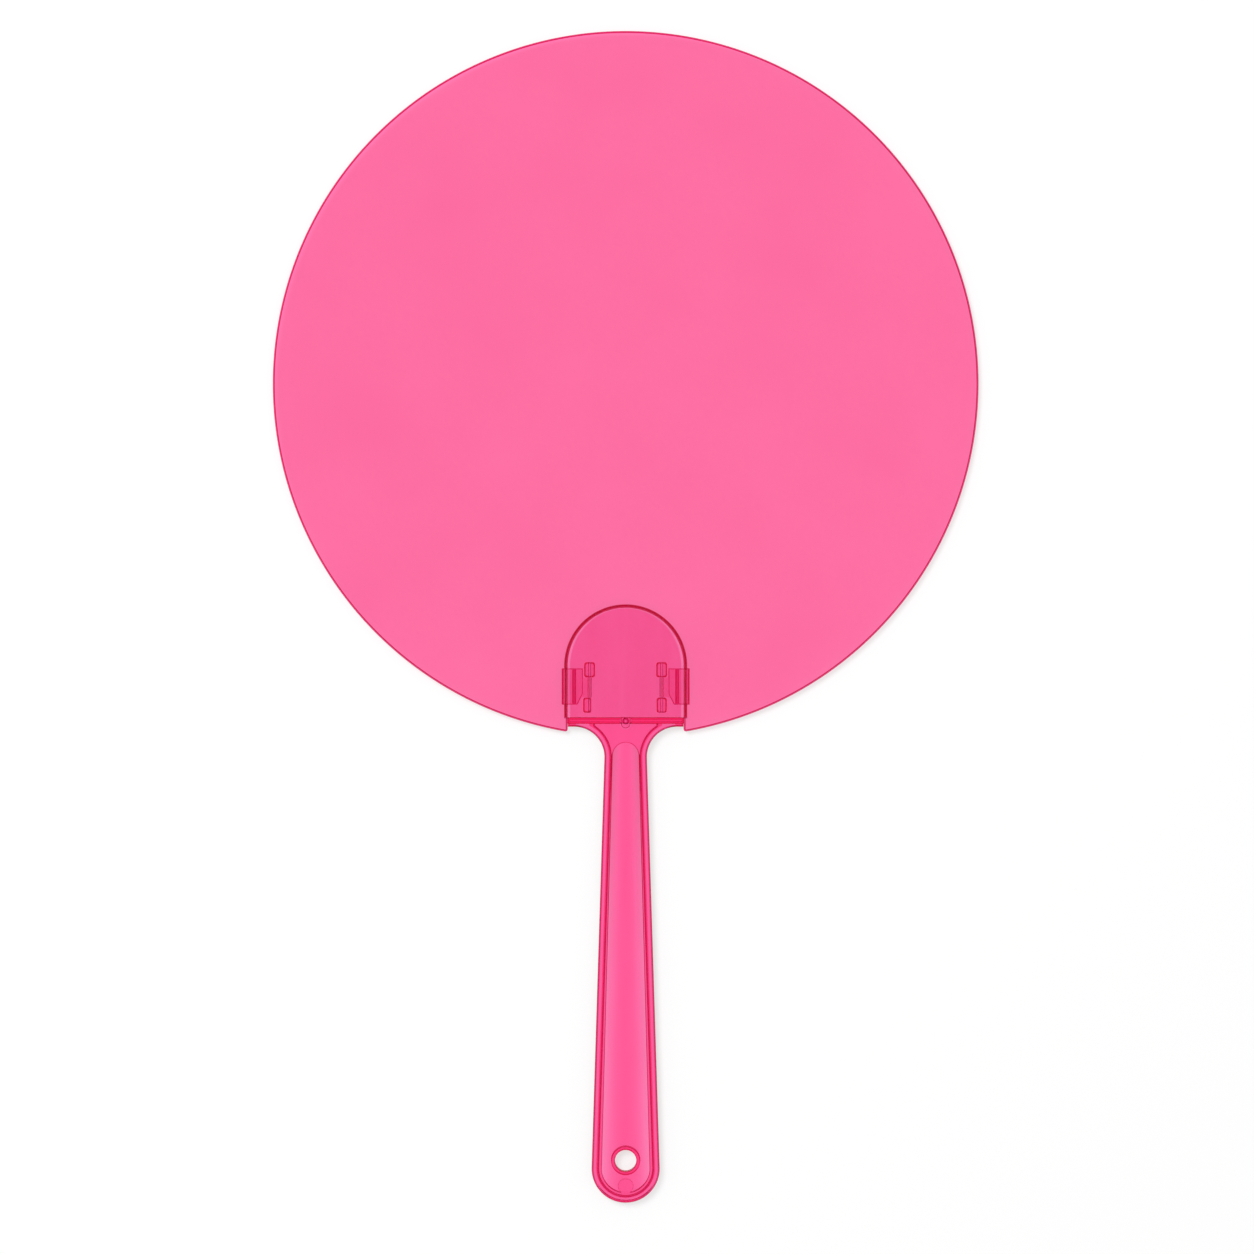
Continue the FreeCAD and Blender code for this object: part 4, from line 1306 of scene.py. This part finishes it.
@dataclass
class HeadCover:
    """Front plate of the head with its lug, its hinge knuckles and the rivet."""

    layout: Layout
    lift: float = 0.03
    edge_round: float = 0.7
    edge_steps: int = 5
    seam_drop: float = 15.2
    bite_out: float = 18.1
    bite_top: float = 0.65
    bite_length: float = 10.95
    lug_width: float = 2.9
    lug_stretch: float = 1.5
    lug_drop: float = 16.4
    lug_round: float = 0.4
    lug_steps: int = 4
    knuckle_top: float = 5.3
    knuckle_round: float = 0.7
    knuckle_top_round: float = 0.56
    knuckle_root: float = 0.2
    knuckle_length: float = 4.5
    knuckle_wall: float = 0.5
    knuckle_roof: float = 1.1
    slot_gap: float = 0.1
    pin_bore: float = 0.42
    pin_bore_slack: float = 0.02
    pin_bore_top: float = 2.1
    pin_reach: float = 17.0
    rivet_bore: float = 0.67
    rivet_bore_top: float = 6.0
    rivet_shank: float = 0.65
    rivet_soft: float = 0.1
    rivet_low: float = 0.4
    rivet_head: float = 1.0
    rivet_rise: float = 0.5
    rivet_lift: float = 0.02
    rivet_step: float = 0.08
    rivet_steps: int = 48
    knuckles: tuple[Knuckle, ...] = (
        Knuckle(Side.LEFT, drop=-1.1, shift=0.0, half=1.6),
        Knuckle(Side.RIGHT, drop=-1.1, shift=0.0, half=1.6),
        Knuckle(Side.LEFT, drop=9.4, shift=0.7, half=1.2),
        Knuckle(Side.RIGHT, drop=9.4, shift=0.0, half=1.5, open_foot=True),
    )

    @property
    def low(self) -> float:
        """Height of the cover's underside, a hair above the core."""
        return self.layout.cover_low + self.lift

    def knuckle_block(self, knuckle: Knuckle, inset: float, low: float, high: float) -> Solid:
        """Makes a block with a knuckle's rounded plan.

        Args:
            knuckle: Form of the knuckle.
            inset: How far the block lies inside the knuckle.
            low: Height of its underside.
            high: Height of its top.

        Returns:
            The block.
        """
        middle = knuckle.side.value * (self.layout.hinge_out + knuckle.shift)
        half = knuckle.half - inset
        top = self.layout.arch_centre - knuckle.drop - inset
        length = self.knuckle_length - 2 * inset
        shape = box_outline(middle - half, middle + half, top - length, top)
        corners = [(vertex.co.x, vertex.co.y) for vertex in shape.mesh.verts]
        shape.round_corners(corners, self.knuckle_round - inset / 2)
        return Solid.prism(shape, low, high)

    def add_knuckle(self, cover: Solid, knuckle: Knuckle) -> None:
        """Adds a knuckle to the cover, cored out from below.

        Args:
            cover: Cover plate.
            knuckle: Form of the knuckle.
        """
        block = self.knuckle_block(knuckle, 0.0, self.low + self.knuckle_root, self.knuckle_top)
        block.round_off(self.knuckle_top_round, self.edge_steps, level_edges(self.knuckle_top))
        cover.add(block)
        roof = self.knuckle_top - self.knuckle_roof
        cover.cut(self.knuckle_block(knuckle, self.knuckle_wall, self.low - OVERSHOOT, roof))
        if knuckle.open_foot:
            gap = self.slot_gap
            floor = self.layout.cover_high + gap
            slot = self.knuckle_block(knuckle, self.knuckle_wall + gap, floor, roof - gap)
            cover.cut(slot.move(0.0, -2 * self.knuckle_wall, 0.0))

    def build(self, paintbox: Paintbox) -> None:
        """Makes and dresses the cover and its rivet.

        Args:
            paintbox: Finishes to dress them with.
        """
        layout = self.layout
        foot = layout.arch_centre - self.seam_drop
        cover = Solid.prism(arch_outline(layout, layout.arch_radius, foot), self.low, layout.cover_high)
        on_front = level_edges(layout.cover_high)

        def above_foot(edge: bmesh.types.BMEdge) -> bool:
            """True for the front edge of the arch and its legs."""
            return on_front(edge) and any(vertex.co.y > foot + SAME_LEVEL for vertex in edge.verts)

        cover.round_off(self.edge_round, self.edge_steps, above_foot)
        top = layout.arch_centre - self.bite_top
        outer = layout.arch_radius + OVERSHOOT
        for side in Side:
            bite = side_box(side, self.bite_out, outer, top, self.bite_length)
            cover.cut(Solid.prism(bite, self.low - OVERSHOOT, layout.cover_high + OVERSHOOT))
        lug_y = layout.arch_centre - self.lug_drop
        lug_shape = oval_outline(self.lug_width, self.lug_stretch, lug_y)
        lug = Solid.prism(lug_shape, self.low, layout.cover_high)
        cover.add(lug.round_off(self.lug_round, self.lug_steps, on_front))
        for knuckle in self.knuckles:
            self.add_knuckle(cover, knuckle)
        for side in Side:
            bore = Solid.rod(self.pin_bore, 0.0, self.pin_reach).stand()
            upper = layout.arch_centre + self.pin_bore_top
            cover.cut(bore.move(side.value * layout.hinge_out, upper, layout.hinge_height))
        cover.cut(Solid.rod(self.rivet_bore, -OVERSHOOT, self.rivet_bore_top).move(0.0, lug_y, 0.0))

        def outside_bores(face: bmesh.types.BMFace) -> float:
            """Leaves the pins' bores without painted edge shade.

            Args:
                face: Face of the cover.

            Returns:
                Nothing in a bore, and the full share elsewhere.
            """
            middle = face.calc_center_median()
            out = hypot(abs(middle.x) - layout.hinge_out, middle.z - layout.hinge_height)
            return 0.0 if out < self.pin_bore + self.pin_bore_slack else 1.0

        piece = cover.piece("head_plate", weight=outside_bores)
        paintbox.dress(piece, Finish.MOULDING, "handle", "head_cover")
        self.build_rivet(paintbox, lug_y)

    def build_rivet(self, paintbox: Paintbox, lug_y: float) -> None:
        """Makes and dresses the rivet.

        Args:
            paintbox: Finishes to dress it with.
            lug_y: Place of the rivet along the fan.
        """
        shank = self.rivet_shank
        soft = self.rivet_soft
        low = self.rivet_low
        head = self.rivet_head
        rise = self.rivet_rise
        seat = self.layout.cover_high + self.rivet_lift
        dome = (head * head + rise * rise) / (2 * rise)
        profile = Outline(0.0, low).line(shank - soft, low).line(shank, low + soft)
        profile.line(shank, seat).line(head, seat)
        profile.arc(0.0, seat + rise - dome, degrees(asin(head / dome)), self.rivet_step)
        rivet = Solid.lathe(profile, self.rivet_steps).move(0.0, lug_y, 0.0)
        paintbox.dress(rivet.piece("lug_rivet"), Finish.PIN, "handle", "cover_rivet")


@dataclass
class SideClip:
    """Hinged clip at one side of the head, with its pin."""

    layout: Layout
    side: Side
    top_drop: float = 0.75
    length: float = 10.75
    flap_inner: float = 12.7
    flap_outer: float = 19.0
    flap_low: float = 3.3
    flap_high: float = 3.9
    lip_inner: float = 18.5
    lip_low: float = 2.35
    outer_round: float = 0.35
    soft: float = 0.12
    soft_steps: int = 3
    soft_turn: float = 50.0
    ridge_out: float = 15.3
    ridge_half: float = 0.42
    ridge_rise: float = 0.38
    ridge_round: float = 0.15
    ridge_inset: float = 0.5
    ridge_root: float = 0.3
    ridge_foot: float = 0.05
    slant_width: float = 1.6
    slant_length: float = 3.2
    arm_top: float = 3.55
    arm_length: float = 5.7
    arm_lap: float = 0.8
    arm_inset: float = 0.03
    barrel_radius: float = 0.65
    bore_radius: float = 0.45
    bore_step: float = 0.12
    pin_radius: float = 0.4
    pin_soft: float = 0.1
    pin_steps: int = 32
    pin_top: float = 1.1
    pin_length: float = 15.0
    # Width of the painted shade band along the flap's top edges, and the small share of painted edge
    # shade on the arm, barrel and pin.
    flap_shade_band: float = 0.17
    barrel_shade_share: float = 0.04

    def profile(self) -> Outline:
        """Draws the flap and its down-turned lip, seen from the end of the clip.

        Returns:
            The outline.
        """
        outline = Outline(self.flap_inner, self.flap_low).line(self.lip_inner, self.flap_low)
        outline.line(self.lip_inner, self.lip_low).line(self.flap_outer, self.lip_low)
        round_x = self.flap_outer - self.outer_round
        round_y = self.flap_high - self.outer_round
        outline.line(self.flap_outer, round_y).arc(round_x, round_y, 90.0, FINEST_STEP)
        return outline.line(self.flap_inner, self.flap_high)

    def along(self, outline: Outline, drop: float, length: float) -> Solid:
        """Draws a profile out along the fan, from a drop below the arch's centre."""
        start = drop - self.layout.arch_centre
        return Solid.prism(outline, start, start + length).stand()

    def around_hinge(self, radius: float, step: float, drop: float, length: float) -> Solid:
        """Makes a round rod along the hinge line, from a drop below the arch's centre."""
        hinge = (self.layout.hinge_out, self.layout.hinge_height)
        return self.along(Outline(hinge[0] + radius, hinge[1]).arc(*hinge, 360.0, step), drop, length)

    def flap(self) -> Solid:
        """Makes the flap with its lip, its slanted corner and soft edges.

        Returns:
            The flap.
        """
        flap = self.along(self.profile(), self.top_drop, self.length)
        foot = self.layout.arch_centre - self.top_drop - self.length
        inner = self.flap_inner
        reach = self.slant_width / self.slant_length * OVERSHOOT
        upper = foot + self.slant_length + OVERSHOOT
        trim = Outline(inner - OVERSHOOT, foot - OVERSHOOT)
        trim.line(inner + self.slant_width + reach, foot - OVERSHOOT)
        trim.line(inner - reach, upper).line(inner - OVERSHOOT, upper)
        flap.cut(Solid.prism(trim, self.flap_low - OVERSHOOT, self.flap_high + OVERSHOOT))

        def sharp(edge: bmesh.types.BMEdge) -> bool:
            """True for the flap's sharp outer edges."""
            return edge.is_manifold and edge.calc_face_angle_signed() > radians(self.soft_turn)

        return flap.round_off(self.soft, self.soft_steps, sharp)

    def ridge(self) -> Solid:
        """Makes the ridge along the flap.

        Returns:
            The ridge.
        """
        inner = self.ridge_out - self.ridge_half
        outer = self.ridge_out + self.ridge_half
        root = self.flap_high - self.ridge_root
        foot = self.flap_high + self.ridge_foot
        crest = (self.ridge_out, self.flap_high + self.ridge_rise)
        shape = Outline(inner, root).line(outer, root).line(outer, foot).line(*crest).line(inner, foot)
        shape.round_corners([crest], self.ridge_round)
        return self.along(shape, self.top_drop + self.ridge_inset, self.length - 2 * self.ridge_inset)

    def clip(self) -> Solid:
        """Makes the flap with its ridge, its arm and the barrel round the pin.

        Returns:
            The clip for the right side.
        """
        clip = self.flap()
        clip.add(self.ridge())
        low = self.flap_low + self.arm_inset
        high = self.flap_high - self.arm_inset
        arm = box_outline(self.layout.hinge_out, self.flap_inner + self.arm_lap, low, high)
        clip.add(self.along(arm, self.arm_top, self.arm_length))
        clip.add(self.around_hinge(self.barrel_radius, FINE_STEP, self.arm_top, self.arm_length))
        bore_length = self.arm_length + 2 * OVERSHOOT
        return clip.cut(
            self.around_hinge(self.bore_radius, self.bore_step, self.arm_top - OVERSHOOT, bore_length)
        )

    def pin(self) -> Solid:
        """Makes the hinge pin.

        Returns:
            The pin for the right side.
        """
        upper = self.layout.arch_centre + self.pin_top
        pin = Solid.soft_rod(self.pin_radius, 0.0, self.pin_length, self.pin_soft, self.pin_steps)
        return pin.stand().move(self.layout.hinge_out, upper, self.layout.hinge_height)

    def build(self, paintbox: Paintbox) -> None:
        """Makes and dresses the clip and its pin.

        Args:
            paintbox: Finishes to dress them with.
        """

        def outside_hinge(face: bmesh.types.BMFace) -> float:
            """Gives the arm and the barrel almost no painted edge shade."""
            return 1.0 if abs(face.calc_center_median().x) > self.flap_inner else self.barrel_shade_share

        def faint(face: bmesh.types.BMFace) -> float:
            """Gives the pin almost no painted edge shade."""
            return self.barrel_shade_share

        word = self.side.word
        body = word + "_clip"
        clip = self.clip().mirror(self.side.value, 1.0, 1.0)
        piece = clip.piece(word + "_side_clip", (self.flap_high,), self.flap_shade_band, outside_hinge)
        paintbox.dress(piece, Finish.CLIP, body, body)
        pin = self.pin().mirror(self.side.value, 1.0, 1.0)
        paintbox.dress(pin.piece(word + "_hinge_pin", weight=faint), Finish.PIN, "handle", body + "_pin")


@dataclass
class Stage:
    """Pale floor, soft studio light and the camera above the fan."""

    floor_size: float = 16.0
    floor_drop: float = 0.0002
    floor_glow: float = 0.65
    floor_colour: float = 0.35
    floor_through: float = 0.87
    floor_mirrored: float = 0.1
    world_mirrored: float = 0.07
    walls_mirrored: float = 0.75
    walls_top: float = 0.45
    walls_foot: float = 0.05
    world_strength: float = 0.55
    lamp_energy: float = 40.0
    lamp_size: float = 1.2
    lamp_place: Vector = Vector((-0.92, 0.92, 2.25))
    camera_place: Vector = Vector((0.0004, -0.0031, 1.0384))
    camera_lens: float = 100.0

    def build(self) -> None:
        """Makes the floor, the world, the lamp and the camera."""
        bpy.context.scene.view_settings.view_transform = "Standard"
        self.make_floor()
        self.make_world()
        self.make_lamp()
        self.make_camera()

    def make_floor(self) -> None:
        """Makes the pale floor just under the fan, clear when it is seen from below."""
        bpy.ops.mesh.primitive_plane_add(size=self.floor_size, location=(0.0, 0.0, -self.floor_drop))
        floor = bpy.context.active_object
        floor.name = "floor"
        material = bpy.data.materials.new("pale_floor")
        material.use_nodes = True
        nodes = Nodes(material.node_tree)
        nodes.tree.nodes.clear()
        paint = nodes.add("BsdfDiffuse", {"Color": (*(self.floor_colour,) * 3, 1.0)})
        mirrored = nodes.level_for(("Is Glossy Ray",), self.floor_mirrored, 0.0)
        seen = nodes.level_for(("Is Camera Ray",), self.floor_glow, mirrored)
        strength = nodes.level_for(("Is Transmission Ray",), self.floor_through, seen)
        glow = nodes.add("Emission", {"Strength": strength})
        front = nodes.add("AddShader", {0: paint.outputs[0], 1: glow.outputs[0]})
        back = nodes.add("BsdfTransparent")
        facing = nodes.add("NewGeometry").outputs["Backfacing"]
        sides = nodes.add("MixShader", {0: facing, 1: front.outputs[0], 2: back.outputs[0]})
        nodes.add("OutputMaterial", {"Surface": sides.outputs[0]})
        floor.data.materials.append(material)

    def wall_level(self, nodes: Nodes) -> Socket:
        """Adds the brightness that gloss mirrors: pale walls round a darker ceiling.

        Args:
            nodes: Node tree of the world.

        Returns:
            The socket that holds the brightness.
        """
        way = nodes.add("TexCoord").outputs["Generated"]
        rise = nodes.add("SeparateXYZ", {0: way}).outputs["Z"]
        mirrored = (self.walls_mirrored, self.world_mirrored)
        wall = nodes.spread(rise, (self.walls_foot, self.walls_top), mirrored)
        wall.interpolation_type = "SMOOTHSTEP"
        return wall.outputs["Result"]

    def make_world(self) -> None:
        """Makes the even studio light, white where it is seen, also through the plastic."""
        world = bpy.data.worlds.new("studio")
        bpy.context.scene.world = world
        world.use_nodes = True
        nodes = Nodes(world.node_tree)
        mirrored = nodes.level_for(("Is Glossy Ray",), self.wall_level(nodes), self.world_strength)
        strength = nodes.level_for(("Is Camera Ray", "Is Transmission Ray"), 1.0, mirrored)
        light = nodes.tree.nodes["Background"]
        nodes.fill(light, {"Color": (1.0, 1.0, 1.0, 1.0), "Strength": strength})

    def make_lamp(self) -> None:
        """Makes the large soft lamp at the upper left, which the plastic doesn't mirror."""
        lamp = bpy.data.lights.new("soft_lamp", "AREA")
        lamp.shape = "DISK"
        lamp.size = self.lamp_size
        lamp.energy = self.lamp_energy
        holder = put("soft_lamp", lamp)
        holder.location = self.lamp_place
        holder.rotation_euler = (-self.lamp_place).to_track_quat("-Z", "Y").to_euler()
        holder.visible_glossy = False
        holder.visible_transmission = False

    def make_camera(self) -> None:
        """Makes the camera that looks straight down on the fan."""
        camera = bpy.data.cameras.new("camera")
        camera.lens = self.camera_lens
        holder = put("camera", camera)
        holder.location = self.camera_place
        bpy.context.scene.camera = holder


def main() -> None:
    """Builds the stage and the fan."""
    logging.basicConfig(level=logging.INFO)
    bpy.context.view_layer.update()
    Stage().build()
    layout = Layout.from_frame()
    paintbox = Paintbox()
    FanSheet(layout).build(paintbox)
    GripHandle(layout).build(paintbox)
    HeadCover(layout).build(paintbox)
    for side in Side:
        SideClip(layout, side).build(paintbox)


if __name__ == "__main__":
    main()
